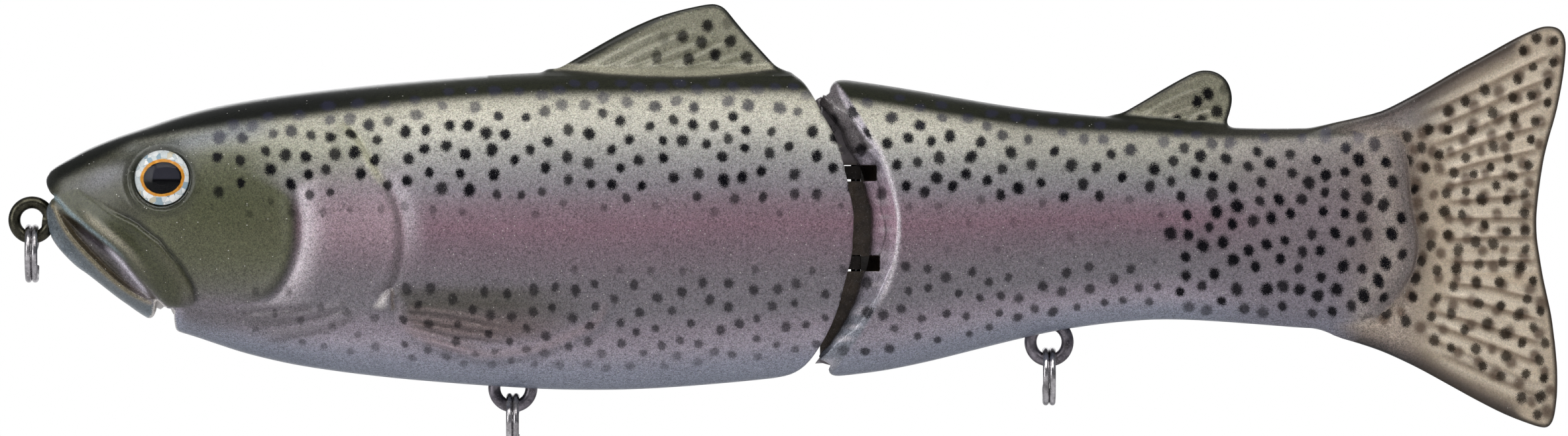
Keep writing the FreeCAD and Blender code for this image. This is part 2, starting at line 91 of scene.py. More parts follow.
def catmull(pts, k=4, closed=False):
    """Points with k - 1 more between each pair, on a Catmull-Rom curve."""
    P = np.asarray(pts, float)
    n = len(P)
    out = []
    m = n if closed else n - 1
    for i in range(m):
        p0 = P[(i - 1) % n] if closed or i > 0 else 2 * P[0] - P[1]
        p1, p2 = P[i], P[(i + 1) % n]
        p3 = P[(i + 2) % n] if closed or i + 2 < n else 2 * P[-1] - P[-2]
        for j in range(k):
            t = j / k
            out.append(0.5 * (2 * p1 + (p2 - p0) * t + (2 * p0 - 5 * p1 + 4 * p2 - p3) * t * t
                              + (3 * p1 - p0 - 3 * p2 + p3) * t ** 3))
    if not closed:
        out.append(P[-1])
    return np.array(out)


class Map:
    """Flat maps over the side view, x and z in millimetres."""

    def __init__(self, x0, x1, z0, z1, h=0.2):
        self.x0, self.z0, self.h = x0, z0, h
        self.xs = np.arange(x0, x1 + h, h).astype(f32)
        self.zs = np.arange(z0, z1 + h, h).astype(f32)
        self.X, self.Z = np.meshgrid(self.xs, self.zs, indexing="ij")
        self.shape = self.X.shape

    def full(self, v):
        return np.full(self.shape, v, f32)

    def window(self, P, margin):
        lo, hi = P.min(0) - margin, P.max(0) + margin
        i0 = max(0, int((lo[0] - self.x0) / self.h))
        i1 = min(self.shape[0], int((hi[0] - self.x0) / self.h) + 2)
        j0 = max(0, int((lo[1] - self.z0) / self.h))
        j1 = min(self.shape[1], int((hi[1] - self.z0) / self.h) + 2)
        return slice(i0, i1), slice(j0, j1)

    def line(self, pts, margin=6.0, k=4):
        """Distance to a curve, the side of it (+1 left of its direction), and the place along it 0 to 1."""
        P = catmull(pts, k)
        w = self.window(P, margin)
        X, Z = self.X[w], self.Z[w]
        best = np.full(X.shape, 1e9, f32)
        side = np.ones(X.shape, f32)
        along = np.zeros(X.shape, f32)
        seg = np.diff(P, axis=0)
        ln = np.hypot(seg[:, 0], seg[:, 1])
        cum = np.concatenate([[0], np.cumsum(ln)])
        for i in range(len(seg)):
            if ln[i] < 1e-6:
                continue
            ux, uz = seg[i] / ln[i]
            dx, dz = X - P[i, 0], Z - P[i, 1]
            t = np.clip(dx * ux + dz * uz, 0, ln[i])
            ex, ez = dx - t * ux, dz - t * uz
            d = ex * ex + ez * ez
            m = d < best
            best[m] = d[m]
            side[m] = np.sign(ux * dz - uz * dx)[m]
            along[m] = ((cum[i] + t) / cum[-1])[m]
        D, SD, AL = self.full(99.0), self.full(1.0), self.full(0.0)
        D[w], SD[w], AL[w] = np.sqrt(best), side, along
        return D, SD, AL

    def area(self, pts, margin=6.0, k=4, smooth=True):
        """Signed distance to a closed outline, negative inside."""
        P = catmull(pts, k, True) if smooth else np.asarray(pts, float)
        w = self.window(P, margin)
        X, Z = self.X[w], self.Z[w]
        best = np.full(X.shape, 1e9, f32)
        ins = np.zeros(X.shape, bool)
        n = len(P)
        for i in range(n):
            a, b = P[i], P[(i + 1) % n]
            d = b - a
            L = float(d @ d)
            if L < 1e-9:
                continue
            dx, dz = X - a[0], Z - a[1]
            t = np.clip((dx * d[0] + dz * d[1]) / L, 0, 1)
            ex, ez = dx - t * d[0], dz - t * d[1]
            best = np.minimum(best, ex * ex + ez * ez)
            if a[1] != b[1]:
                c = ((a[1] <= Z) & (b[1] > Z)) | ((b[1] <= Z) & (a[1] > Z))
                ins ^= c & (X < a[0] + (Z - a[1]) / (b[1] - a[1]) * d[0])
        out = self.full(99.0)
        out[w] = np.where(ins, -np.sqrt(best), np.sqrt(best))
        return out

    def read(self, A, x, z):
        """A map read at places x, z, with any shape that broadcasts."""
        u = np.clip((x - self.x0) / self.h, 0, self.shape[0] - 1.001)
        v = np.clip((z - self.z0) / self.h, 0, self.shape[1] - 1.001)
        i, j = u.astype(np.int32), v.astype(np.int32)
        u, v = u - i, v - j
        if A.ndim == 3:
            u, v = u[..., None], v[..., None]
        return (A[i, j] * (1 - u) * (1 - v) + A[i + 1, j] * u * (1 - v)
                + A[i, j + 1] * (1 - u) * v + A[i + 1, j + 1] * u * v)


class Tube:
    """A body form: top, bottom, half width and widest height along x."""

    def __init__(self, rows, root=None, n=2.25):
        rows = np.array(rows, float)
        self.root, self.n = root, n
        t = np.sqrt(np.maximum(rows[:, 0] - root, 0)) if root is not None else rows[:, 0]
        self.t = np.linspace(t[0], t[-1], 3000)
        self.v = [spline(t, rows[:, c], self.t) for c in range(1, 5)]

    def at(self, x):
        t = np.sqrt(np.maximum(x - self.root, 0)) if self.root is not None else x
        zt, zb, w, zw = (np.interp(t, self.t, v) for v in self.v)
        return zt, zb, np.maximum(w, 0.03), zw

    def dist(self, x, y, z):
        zt, zb, w, zw = self.at(x)
        n = self.n
        hz = np.maximum(np.where(z >= zw, zt - zw, zw - zb), 0.05)
        a = np.maximum(np.abs(y) / w, 1e-4)
        b = np.maximum(np.abs(z - zw) / hz, 1e-4)
        g = np.maximum((a ** n + b ** n) ** (1 / n), 0.05)
        gr = g ** (1 - n) * np.sqrt((a ** (n - 1) / w) ** 2 + (b ** (n - 1) / hz) ** 2)
        d = (g - 1) / np.maximum(gr, 0.02)
        if self.root is not None:
            d = np.maximum(d, self.root - x)
        return d


def smin(a, b, k):
    h = np.clip(0.5 + 0.5 * (b - a) / k, 0, 1)
    return b + (a - b) * h - k * h * (1 - h)


def smax(a, b, k):
    return -smin(-a, -b, k)


def slab(sd, y, half, r):
    """A plate of outline sd and half thickness half, edges rounded by r."""
    p, q = sd + r, np.abs(y) - half + r
    return np.minimum(np.maximum(p, q), 0) + np.sqrt(np.maximum(p, 0) ** 2 + np.maximum(q, 0) ** 2) - r


def nets(F, x0, y0, z0, h):
    """A closed quad mesh on the zero level of a sampled field."""
    I = F < 0
    c = np.zeros(tuple(s - 1 for s in F.shape), np.int8)
    for a in (0, 1):
        for b in (0, 1):
            for d in (0, 1):
                c += I[a:F.shape[0] - 1 + a, b:F.shape[1] - 1 + b, d:F.shape[2] - 1 + d]
    act = (c > 0) & (c < 8)
    ci, cj, ck = np.nonzero(act)
    vid = np.full(act.shape, -1, np.int32)
    vid[ci, cj, ck] = np.arange(len(ci))
    pos = np.zeros((len(ci), 3))
    num = np.zeros(len(ci))
    corners = [(a, b, d) for a in (0, 1) for b in (0, 1) for d in (0, 1)]
    val = {q: F[ci + q[0], cj + q[1], ck + q[2]] for q in corners}
    for p in corners:
        for ax in range(3):
            if p[ax]:
                continue
            q = tuple(1 if i == ax else p[i] for i in range(3))
            fa, fb = val[p], val[q]
            m = (fa < 0) != (fb < 0)
            t = fa[m] / (fa[m] - fb[m])
            v = np.array(p, float)[None].repeat(m.sum(), 0)
            v[:, ax] = t
            pos[m] += v
            num[m] += 1
    pos /= num[:, None]
    V = np.stack([x0 + (ci + pos[:, 0]) * h, y0 + (cj + pos[:, 1]) * h, z0 + (ck + pos[:, 2]) * h], 1)
    quads = []
    for ax in range(3):
        u, v = (ax + 1) % 3, (ax + 2) % 3
        lo = [slice(1, s - 1) for s in F.shape]
        hi = [slice(1, s - 1) for s in F.shape]
        lo[ax], hi[ax] = slice(0, F.shape[ax] - 1), slice(1, F.shape[ax])
        A, B = I[tuple(lo)], I[tuple(hi)]
        for flip in (False, True):
            e = (A & ~B) if not flip else (~A & B)
            idx = np.stack(np.nonzero(e), 1)
            base = idx.copy()
            base[:, u] += 1
            base[:, v] += 1
            cells = []
            for du, dv in ((-1, -1), (0, -1), (0, 0), (-1, 0)):
                k = base.copy()
                k[:, u] += du
                k[:, v] += dv
                cells.append(vid[k[:, 0], k[:, 1], k[:, 2]])
            q = np.stack(cells, 1)
            quads.append(q[:, ::-1] if flip else q)
    return V, np.concatenate(quads)


def polish(V, field, steps=2, limit=0.3):
    """Vertices moved onto the field's exact zero level."""
    e = 0.06
    for _ in range(steps):
        x, y, z = V.T
        f = field(x, y, z)
        g = np.stack([field(x + e, y, z) - field(x - e, y, z), field(x, y + e, z) - field(x, y - e, z),
                      field(x, y, z + e) - field(x, y, z - e)], 1) / (2 * e)
        g2 = np.maximum((g * g).sum(1), 0.2)
        move = -(f / g2)[:, None] * g
        ln = np.maximum(np.linalg.norm(move, axis=1), 1e-9)
        V = V + move * np.minimum(1, limit / ln)[:, None]
    return V


def relax(V, Q, field, rounds=1):
    """One gentle evening-out of the mesh along its surface."""
    for _ in range(rounds):
        acc = np.zeros_like(V)
        cnt = np.zeros(len(V))
        for a in range(4):
            p, q = Q[:, a], Q[:, (a + 1) % 4]
            np.add.at(acc, p, V[q])
            np.add.at(cnt, p, 1)
        V = V + 0.5 * (acc / np.maximum(cnt, 1)[:, None] - V)
        V = polish(V, field, 1)
    return V


def build(field, x0, x1, y1, z0, z1, h):
    xs = np.arange(x0, x1 + h, h)
    ys = np.arange(0.5 * h, y1 + h, h)
    zs = np.arange(z0, z1 + h, h)
    half = np.empty((len(xs), len(ys), len(zs)), f32)
    step = 48
    for i in range(0, len(xs), step):
        half[i:i + step] = field(xs[i:i + step, None, None], ys[None, :, None], zs[None, None, :])
    F = np.concatenate([half[:, ::-1], half], 1)
    V, Q = nets(F, xs[0], -ys[-1], zs[0], h)
    V = polish(V, field, 2)
    V = relax(V, Q, field, 1)
    return V, Q


# =====================================================================
# shape: front section
# =====================================================================
TOP_F = [(4.03, 8.83), (5.67, 9.81), (7.85, 11.01), (10.03, 12.1), (14.39, 13.84), (18.75, 15.3), (23.11, 16.79),
         (27.47, 18.05), (31.83, 19.05), (38.37, 20.17), (44.91, 21.04), (51.45, 21.8), (60.17, 22.67), (71.07, 23.54),
         (81.97, 24.25), (92.87, 24.63), (103.77, 24.8), (114.67, 24.74), (120.0, 24.62), (123.2, 24.35)]
NOSE_TOP = [(3.90, 3.81), (3.13, 4.49), (2.45, 5.78), (2.29, 6.54), (2.40, 6.98), (2.83, 7.63)]
JAW_FRONT = [(3.35, 3.38), (2.79, 2.48), (2.45, 1.81), (2.30, 0.92), (2.34, -0.20), (2.52, -1.32), (2.95, -2.44),
             (3.57, -3.56), (4.58, -4.90), (5.81, -6.24), (7.37, -7.69), (9.16, -8.92), (10.84, -10.26), (12.52, -11.60),
             (14.19, -12.90), (15.87, -14.06), (17.32, -15.14), (18.78, -16.08), (19.30, -16.22), (19.8, -15.95),
             (20.2, -15.1), (20.45, -13.84)]
NOTCH = [(20.8, -13.2), (21.68, -13.95), (22.58, -14.51), (23.5, -14.67), (23.56, -15.85), (23.62, -16.97), (23.92, -18.25)]
BOT_F = [(25.3, -18.75), (27.5, -19.45), (29.6, -20.2), (34.0, -21.7), (38.4, -22.8), (42.7, -23.75), (47.1, -24.5),
         (53.6, -25.4), (60.2, -26.15), (66.7, -26.7), (73.2, -27.2), (79.8, -27.65), (86.3, -27.95), (95.0, -28.0),
         (101.6, -27.8), (108.1, -27.4), (114.7, -26.85), (119.5, -26.35), (123.0, -25.85)]
FRONT_RIM = [(125.2, 23.9), (127.0, 22.5), (128.6, 20.1), (129.9, 17.6), (131.9, 14.0), (133.8, 8.9), (134.9, 4.2),
             (135.2, -0.4), (134.9, -5.0), (134.2, -9.4), (132.7, -14.2), (130.6, -19.0), (127.9, -23.1), (125.6, -25.0)]
LIP = [(3.91, 3.82), (5.03, 2.71), (6.25, 1.36), (7.71, 0.09), (9.16, -1.10), (10.61, -2.21), (12.07, -3.33), (13.41, -4.40),
       (14.75, -5.57), (15.87, -6.80), (16.99, -8.25), (18.11, -9.59), (19.22, -10.93), (20.01, -11.94), (20.79, -12.95),
       (21.68, -13.84), (22.58, -14.51), (24.37, -14.67), (25.93, -14.51), (26.94, -14.06), (27.38, -13.17)]
MAX_TOP = [(27.38, -13.17), (27.27, -12.05), (26.94, -10.93), (26.27, -9.59), (25.48, -8.25), (24.59, -7.02),
           (23.69, -6.01), (22.69, -4.78), (21.68, -3.56), (20.68, -2.71), (19.67, -1.99), (18.44, -0.98), (17.21, -0.09),
           (15.87, 0.58), (13.63, 1.70), (11.40, 3.15), (9.16, 4.49), (7.60, 5.39)]
JAW_RIDGE = [(3.57, 2.26), (3.91, 1.81), (4.69, 0.02), (5.58, -1.54), (6.70, -3.11), (7.93, -4.49), (9.16, -5.79),
             (10.50, -7.13), (11.84, -8.47), (13.30, -9.77), (14.75, -10.93), (16.20, -11.94), (17.66, -12.72),
             (18.78, -13.28), (19.67, -13.62)]
PREOP = [(43.29, 6.91), (43.45, 5.62), (43.93, 3.86), (44.25, 2.09), (44.48, 0.32), (44.51, -1.45), (44.48, -3.05),
         (44.19, -4.66), (43.80, -6.27), (43.22, -7.88), (42.39, -9.55), (41.36, -11.09), (40.40, -12.12),
         (39.27, -12.86), (37.50, -13.50), (34.93, -13.98), (31.72, -14.24)]
OPERC = [(50.68, 16.71), (52.13, 15.43), (53.57, 13.98), (55.18, 11.41), (56.31, 9.48), (57.43, 7.55), (58.56, 5.95),
         (59.36, 4.34), (60.07, 3.05), (60.55, 1.45), (60.87, -0.16), (61.00, -1.77), (61.03, -3.70), (60.97, -5.30),
         (60.81, -7.07), (60.42, -8.84), (59.36, -10.77), (57.75, -12.22), (56.31, -13.82)]
FOLDS = [[(34.93, -17.04), (39.75, -16.72), (44.57, -16.23), (47.79, -15.59), (51.00, -14.63), (53.25, -13.50)],
         [(37.82, -19.93), (40.72, -19.29), (44.57, -18.64), (47.79, -18.00), (50.36, -17.20), (52.93, -15.75), (54.86, -14.95)],
         [(33.32, -15.43), (38.15, -14.95), (42.00, -14.63), (45.22, -14.30), (47.79, -13.98)]]
PEC_BUMP = [(55.98, -14.51), (56.95, -12.97), (57.79, -11.86), (58.91, -10.96), (59.75, -11.16), (60.03, -12.14),
            (59.97, -13.39), (60.17, -14.37), (59.61, -15.07), (58.07, -14.99), (56.67, -14.79)]
PEC_OUT = [(58.91, -10.88), (59.89, -10.96), (63.10, -10.96), (68.69, -10.74), (74.28, -10.68), (79.87, -10.74),
           (85.46, -10.96), (90.49, -11.30), (93.85, -12.14), (95.24, -13.53), (94.96, -15.21), (93.29, -17.45),
           (90.77, -18.84), (88.26, -19.96), (84.90, -21.36), (81.27, -22.20), (77.64, -22.62), (74.28, -22.76),
           (71.49, -22.20), (68.13, -21.22), (65.34, -20.38), (62.54, -19.12), (60.59, -17.73), (59.75, -15.77), (59.89, -14.09)]
PEC_RAYS = [[(61.15, -15.07), (65.34, -15.35), (70.37, -16.05), (74.28, -16.89), (79.31, -18.00)],
            [(61.15, -16.33), (65.34, -17.03), (70.37, -17.73), (74.28, -18.34), (79.87, -19.26)],
            [(61.43, -17.17), (65.90, -18.28), (70.37, -19.26), (74.84, -19.68), (79.87, -20.80)],
            [(61.71, -18.14), (65.34, -19.26), (69.25, -20.24), (72.61, -21.22), (75.96, -21.92)],
            [(64.50, -19.96), (67.29, -20.80), (70.37, -21.64), (72.61, -22.20)]]
DORSAL = [(84.6, 24.3), (86.45, 24.86), (88.09, 25.74), (92.36, 28.21), (97.28, 30.93), (102.21, 33.17), (105.82, 34.32),
          (109.11, 35.10), (111.41, 35.50), (112.72, 35.42), (114.03, 34.71), (115.68, 32.74), (117.32, 30.77),
          (118.96, 28.96), (120.60, 27.16), (121.92, 25.74), (122.9, 24.95), (123.9, 24.35), (124.7, 23.7), (123.4, 21.5), (121.0, 20.0), (100.0, 19.0), (86.0, 21.0)]
DORSAL_BASE = [(86.3, 25.1), (87.10, 25.2), (90.72, 24.95), (94.99, 24.5), (100.57, 24.2), (106.48, 24.05), (112.06, 24.2),
               (116.99, 24.63), (121.3, 25.2)]
DORSAL_RAYS = [[(88.75, 25.35), (92.69, 27.32), (97.28, 29.62), (102.54, 31.92), (107.14, 33.40)],
               [(91.37, 24.86), (94.99, 26.66), (98.93, 28.80), (103.20, 30.77), (108.49, 32.4)],
               [(94.99, 24.63), (98.60, 26.34), (102.54, 28.31), (105.17, 29.46), (110.5, 31.3)],
               [(98.60, 24.37), (102.54, 26.01), (106.48, 27.49), (109.11, 28.47), (113.0, 29.8)],
               [(102.54, 24.20), (105.82, 25.51), (109.76, 26.83), (112.06, 27.98), (115.4, 28.9)],
               [(107.79, 24.10), (112.06, 25.51), (115.68, 26.66), (118.0, 27.3)],
               [(112.39, 24.30), (116.33, 25.51), (119.62, 26.34)]]
EYE = (21.8, 6.9)
EYE_TILT = 10.0
EYE_BASE = 9.15

front_tube = Tube([
    (2.2, 3.6, 3.4, 0.05, 3.5), (2.45, 7.2, -0.9, 1.9, 3.2), (3.0, 8.1, -2.6, 3.0, 3.0), (4.03, 9.0, -4.4, 4.05, 2.6),
    (5.67, 9.95, -6.3, 5.15, 2.2), (7.85, 11.15, -8.3, 6.25, 1.8), (10.03, 12.2, -9.9, 7.15, 1.5), (14.4, 13.95, -13.2, 8.75, 1.2),
    (18.75, 15.4, -16.1, 10.0, 1.0), (23.1, 16.9, -18.2, 11.05, 0.8), (27.5, 18.15, -19.6, 11.9, 0.6), (38.4, 20.27, -22.9, 13.45, 0.3),
    (50.0, 21.75, -25.0, 14.4, 0.0), (65.0, 23.2, -26.65, 15.0, -0.4), (82.0, 24.35, -27.85, 15.0, -0.6),
    (100.0, 24.85, -27.95, 14.65, -0.8), (118.0, 24.75, -26.6, 14.05, -0.8), (138.0, 22.6, -25.0, 13.2, -0.6)], root=2.2)

fm = Map(0.0, 138.4, -31.0, 38.0)
front_out = fm.area(NOSE_TOP + [(2.94, 8.07)] + TOP_F + FRONT_RIM + BOT_F[::-1] + NOTCH[::-1] + JAW_FRONT[::-1], 40.0, 3)
max_sd = fm.area(LIP + MAX_TOP[1:], 5.0)
lip_d, lip_s, lip_a = fm.line(LIP)
mtop_d, mtop_s, mtop_a = fm.line(MAX_TOP)
groove_sd = fm.area(JAW_RIDGE + LIP[14:2:-1], 5.0)
ridge_d, ridge_s, ridge_a = fm.line(JAW_RIDGE)
pre_d, pre_s, pre_a = fm.line(PREOP, 12.0)
op_d, op_s, op_a = fm.line(OPERC, 12.0)
bump_sd = fm.area(PEC_BUMP)
pec_sd = fm.area(PEC_OUT, 8.0)
eye_r = np.hypot(fm.X - EYE[0], fm.Z - EYE[1])
eye_ang = np.arctan2(fm.Z - EYE[1], fm.X - EYE[0])

R = fm.full(0.0)
# upper jaw plate, its top crease and the rounded ridge along its lower edge
grow = S((fm.X - 6.0) / 9.0)
R += 0.55 * S(-max_sd / 0.9) * grow
R -= 0.30 * np.exp(-(mtop_d / 0.33) ** 2) * S((fm.X - 12.5) / 4.0)
R += 0.40 * np.exp(-((lip_d - 1.7) / 1.2) ** 2) * (max_sd < 0.2) * S((fm.X - 7.0) / 6.0)
R += 0.25 * np.exp(-(lip_d / 0.35) ** 2) * (lip_s > 0) * S((24.0 - fm.X) / 3.0)
# mouth groove, and the lower jaw's rim
R -= 1.35 * S(-groove_sd / 1.5)
R += 0.38 * np.exp(-(ridge_d / 0.6) ** 2)
# snout: shallow hollow between the nose and the eye
R -= 0.35 * np.exp(-(((fm.X - 12.5) / 5.0) ** 2 + ((fm.Z - 6.0) / 2.6) ** 2))
# eye rim, heavier below and in front
rim_w = 0.40 + 0.30 * np.cos(eye_ang - math.radians(225))
R += rim_w * np.exp(-((eye_r - 5.65) / 0.62) ** 2)
# cheek edge over the gill cover, and the gill cover's own edge over the shoulder
fade = S(pre_a / 0.16) * S((1.0 - pre_a) / 0.38)
left = pre_s < 0
R += fade * np.where(left, 0.50 * np.exp(-((pre_d - 1.3) / 1.6) ** 2), 0.42 * np.exp(-((pre_d - 3.0) / 2.2) ** 2))
R -= fade * 0.55 * np.exp(-(pre_d / 0.85) ** 2)
fade = S(op_a / 0.10) * S((1.0 - op_a) / 0.15)
left = op_s < 0
up = 1 - S((op_a - 0.18) / 0.2)
R += fade * np.where(left, (0.55 + 0.2 * up) * np.exp(-((op_d - 1.2) / 1.7) ** 2), 0.45 * (1 - 0.6 * up) * np.exp(-((op_d - 3.2) / 2.0) ** 2))
R -= fade * (0.40 - 0.05 * up) * np.exp(-(op_d / 0.8) ** 2)
for i, P in enumerate(FOLDS):
    d, s, a = fm.line(P)
    e = S(a / 0.2) * S((1 - a) / 0.15)
    R += e * (-0.36 * np.exp(-((d * s + 0.0) / 0.5) ** 2) + 0.26 * np.exp(-((d * s - 1.1) / 0.6) ** 2))
# pectoral fin pressed on the flank, with its rays and its raised root
R += 1.15 * S(-bump_sd / 1.15) + 0.15 * np.exp(-(np.maximum(bump_sd, 0) / 0.8) ** 2) * (bump_sd > 0)
soft = S((-10.4 - fm.Z) / 3.5) * 0.45 + 0.10
R += np.minimum(soft, 0.55) * S(-pec_sd / 1.3) * S((fm.X - 59.5) / 1.5)
for i, P in enumerate(PEC_RAYS):
    d, s, a = fm.line(P)
    e = S(a / 0.12) * S((1 - a) / 0.3)
    R += e * (-0.22 * np.exp(-(d / 0.30) ** 2) + 0.12 * np.exp(-((d - 0.7) / 0.32) ** 2))
front_relief = R

dorsal_sd = fm.area(DORSAL, 6.0)
base_d, base_s, base_a = fm.line(DORSAL_BASE)
T = 1.85 - 1.05 * S((fm.Z - 24.0) / 10.5) + 1.7 * np.exp(-(np.maximum(fm.Z, 23.6) - 23.8) / 0.75)
for P in DORSAL_RAYS:
    d, s, a = fm.line(P)
    e = S(a / 0.12) * S((1 - a) / 0.22)
    T = T + e * (0.20 * np.exp(-(d / 0.42) ** 2) - 0.11 * np.exp(-((d - 1.15) / 0.5) ** 2))
T = T + 0.22 * np.exp(-(base_d / 0.38) ** 2) * (dorsal_sd < 0)
dorsal_t = T


def eye_local(x, y, z):
    """Distance from the eye's axis and place along it, on either side."""
    c, s = math.cos(math.radians(EYE_TILT)), math.sin(math.radians(EYE_TILT))
    n = np.array([-s, c, 0.10])
    n /= np.linalg.norm(n)
    dx, dy, dz = x - EYE[0], np.abs(y) - EYE_BASE, z - EYE[1]
    a = dx * n[0] + dy * n[1] + dz * n[2]
    r = np.sqrt(np.maximum(dx * dx + dy * dy + dz * dz - a * a, 0))
    return r, a


def front_field(x, y, z):
    ay = np.abs(y)
    w = front_tube.at(x)[2]
    tube = front_tube.dist(x, y, z)
    relief = fm.read(front_relief, x, z) * S((ay / w - 0.10) / 0.30)
    d = smax(tube - relief, fm.read(front_out, x, z), 0.45)
    fin = slab(fm.read(dorsal_sd, x, z), y, fm.read(dorsal_t, x, z), 0.55)
    rim = fm.read(front_out, x, z)
    fin = np.maximum(fin, np.where(x > 124.3, rim, -9.0))
    d = smin(d, fin, 1.3)
    # hollow for the core
    cav = np.maximum(tube + 2.15, 6.8 - x)
    d = smax(d, -cav, 0.3)
    # eye sockets
    r, a = eye_local(x, y, z)
    d = smax(d, -np.maximum(r - 4.66 - 0.42 * S((a - 0.2) / 1.1), -0.03 - a), 0.12)
    # slots for the wires
    d = smax(d, -np.maximum(np.hypot(x, z) - 4.02, ay - 1.12), 0.15)
    ux, uz = 0.99288, -0.11915
    t = x * ux + z * uz
    d = smax(d, -np.maximum(np.sqrt((x - t * ux) ** 2 + (z - t * uz) ** 2 + y * y) - 1.55, t - 12.5), 0.15)
    d = smax(d, -np.maximum(np.hypot(x - 79.1, z + 27.6) - 4.16, ay - 1.12), 0.2)
    return d


# =====================================================================
# shape: rear section
# =====================================================================
REAR_RIM = [(128.0, -29.0), (131.9, -25.4), (134.6, -21.8), (137.2, -18.0), (139.5, -13.6), (141.2, -9.6), (142.2, -5.6),
            (142.6, -1.4), (142.3, 2.2), (141.3, 6.6), (139.7, 11.0), (137.6, 15.4), (135.0, 19.6), (132.4, 23.0), (128.8, 27.0)]
TOP_R = [(129.3, 18.6), (129.8, 20.0), (130.5, 20.45), (131.15, 20.9), (131.3, 21.7), (131.75, 22.5), (132.5, 22.95), (134.0, 23.1), (136.5, 22.78), (142.0, 21.95), (147.4, 21.04), (152.8, 20.1), (158.3, 19.18), (163.7, 18.4), (169.2, 17.77),
         (174.87, 17.2), (180.1, 16.8), (191.0, 15.95), (196.4, 15.3), (201.9, 15.1), (208.4, 15.2), (216.0, 15.3), (221.0, 15.2), (226.5, 13.8), (231.0, 10.0)]
BOT_R = [(231.0, -11.0), (226.0, -15.0), (220.0, -17.2), (213.0, -18.1), (208.4, -17.8), (204.0, -17.4), (195.3, -16.8), (186.6, -16.4), (180.1, -16.75),
         (173.5, -17.5), (167.0, -18.6), (160.4, -20.1), (153.9, -21.75), (147.4, -23.35), (140.8, -24.7), (136.5, -25.3), (133.6, -25.65), (132.2, -25.65), (131.35, -25.3), (131.05, -24.6), (131.35, -23.9), (130.6, -23.3), (129.6, -22.8), (129.2, -22.0)]
ADIPOSE = [(177.6, 16.5), (179.1, 17.42), (180.74, 18.37), (183.09, 19.74), (186.02, 21.50), (188.96, 23.16), (190.91, 24.14),
           (192.09, 24.53), (193.07, 24.61), (194.24, 24.47), (195.41, 23.95), (196.39, 23.07), (196.98, 21.99), (197.33, 20.62),
           (197.33, 19.25), (196.98, 17.69), (196.59, 16.51), (196.30, 15.5), (195.5, 13.0), (185.0, 12.0), (177.0, 13.5)]
ADI_RAYS = [[(181.13, 18.08), (183.87, 19.64), (186.61, 21.21), (188.96, 22.38), (191.91, 23.36)],
            [(182.30, 16.80), (185.04, 18.27), (187.98, 19.64), (190.13, 20.62), (193.5, 21.9)],
            [(183.09, 16.51), (186.22, 17.88), (188.96, 19.05), (190.91, 19.64), (194.5, 20.6)],
            [(185.04, 16.32), (187.59, 17.29), (189.94, 18.27), (192.09, 18.86), (195.0, 19.4)],
            [(188.17, 15.73), (190.52, 16.51), (192.48, 17.49), (195.0, 18.1)]]
TAIL = [(206.6, 9.0), (208.2, 12.6), (210.4, 14.6), (213.6, 15.85), (217.32, 16.71), (221.78, 17.87), (225.35, 19.55), (229.81, 21.97), (234.26, 24.56),
        (238.72, 26.96), (243.18, 29.46), (245.86, 30.80), (248.08, 31.69), (249.65, 31.87), (250.98, 31.56), (251.87, 30.66),
        (252.28, 29.10), (252.19, 26.43), (251.74, 22.86), (250.98, 18.85), (250.31, 16.18), (249.65, 13.95), (248.75, 10.38),
        (248.08, 6.37), (247.64, 2.80), (247.46, 0.13), (247.55, -2.99), (248.00, -6.11), (248.53, -9.24), (249.20, -12.36),
        (249.87, -15.48), (250.31, -18.60), (250.67, -21.72), (250.89, -24.84), (250.89, -27.96), (250.67, -30.63),
        (250.22, -32.86), (249.42, -33.98), (248.31, -34.11), (246.30, -33.53), (242.29, -31.97), (237.83, -29.74),
        (233.37, -27.29), (228.92, -24.84), (225.35, -23.06), (221.78, -21.50), (218.22, -20.29), (214.2, -19.0), (210.6, -16.8), (208.2, -14.0), (206.6, -10.0)]
STEP = [(223.57, 14.39), (224.90, 13.06), (225.71, 10.83), (226.15, 7.26), (226.46, 3.69), (227.13, 0.13), (227.67, -2.99),
        (227.58, -5.67), (226.91, -8.34), (225.57, -10.57), (224.01, -12.80), (222.23, -14.81)]
TAIL_RAYS = [[(227.13, 16.40), (233.37, 19.30), (239.61, 22.19), (244.96, 24.87), (251.21, 27.77)],
             [(228.02, 13.95), (233.37, 16.18), (239.61, 18.85), (245.41, 21.53), (251.65, 23.98)],
             [(228.92, 11.72), (235.16, 13.95), (240.51, 16.18), (246.30, 18.63), (251.21, 20.63)],
             [(229.81, 9.04), (236.05, 11.72), (242.29, 13.72), (247.64, 15.28), (250.31, 16.18)],
             [(230.70, 6.81), (236.94, 9.04), (243.18, 10.38), (248.53, 11.72)],
             [(230.70, 5.03), (236.94, 6.37), (243.18, 7.26), (248.53, 8.15)],
             [(231.59, 2.80), (237.83, 3.25), (243.18, 3.69), (247.64, 4.14)],
             [(231.59, 0.13), (239.61, 0.13), (247.19, 0.13)],
             [(231.59, -3.44), (239.61, -2.99), (247.64, -2.99)],
             [(231.59, -7.01), (239.61, -7.01), (248.08, -6.78)],
             [(231.59, -10.57), (238.72, -11.02), (244.07, -12.36), (248.53, -13.25)],
             [(229.81, -12.36), (236.05, -13.25), (242.29, -15.03), (249.42, -16.81)],
             [(228.02, -14.59), (235.16, -16.37), (242.29, -18.60), (249.87, -20.83)],
             [(228.02, -16.37), (234.26, -18.60), (241.40, -21.27), (248.53, -23.95)],
             [(228.02, -18.60), (233.37, -21.27), (240.51, -24.39), (248.53, -27.96)],
             [(229.81, -21.27), (236.05, -23.95), (243.18, -27.07), (249.87, -29.74)]]

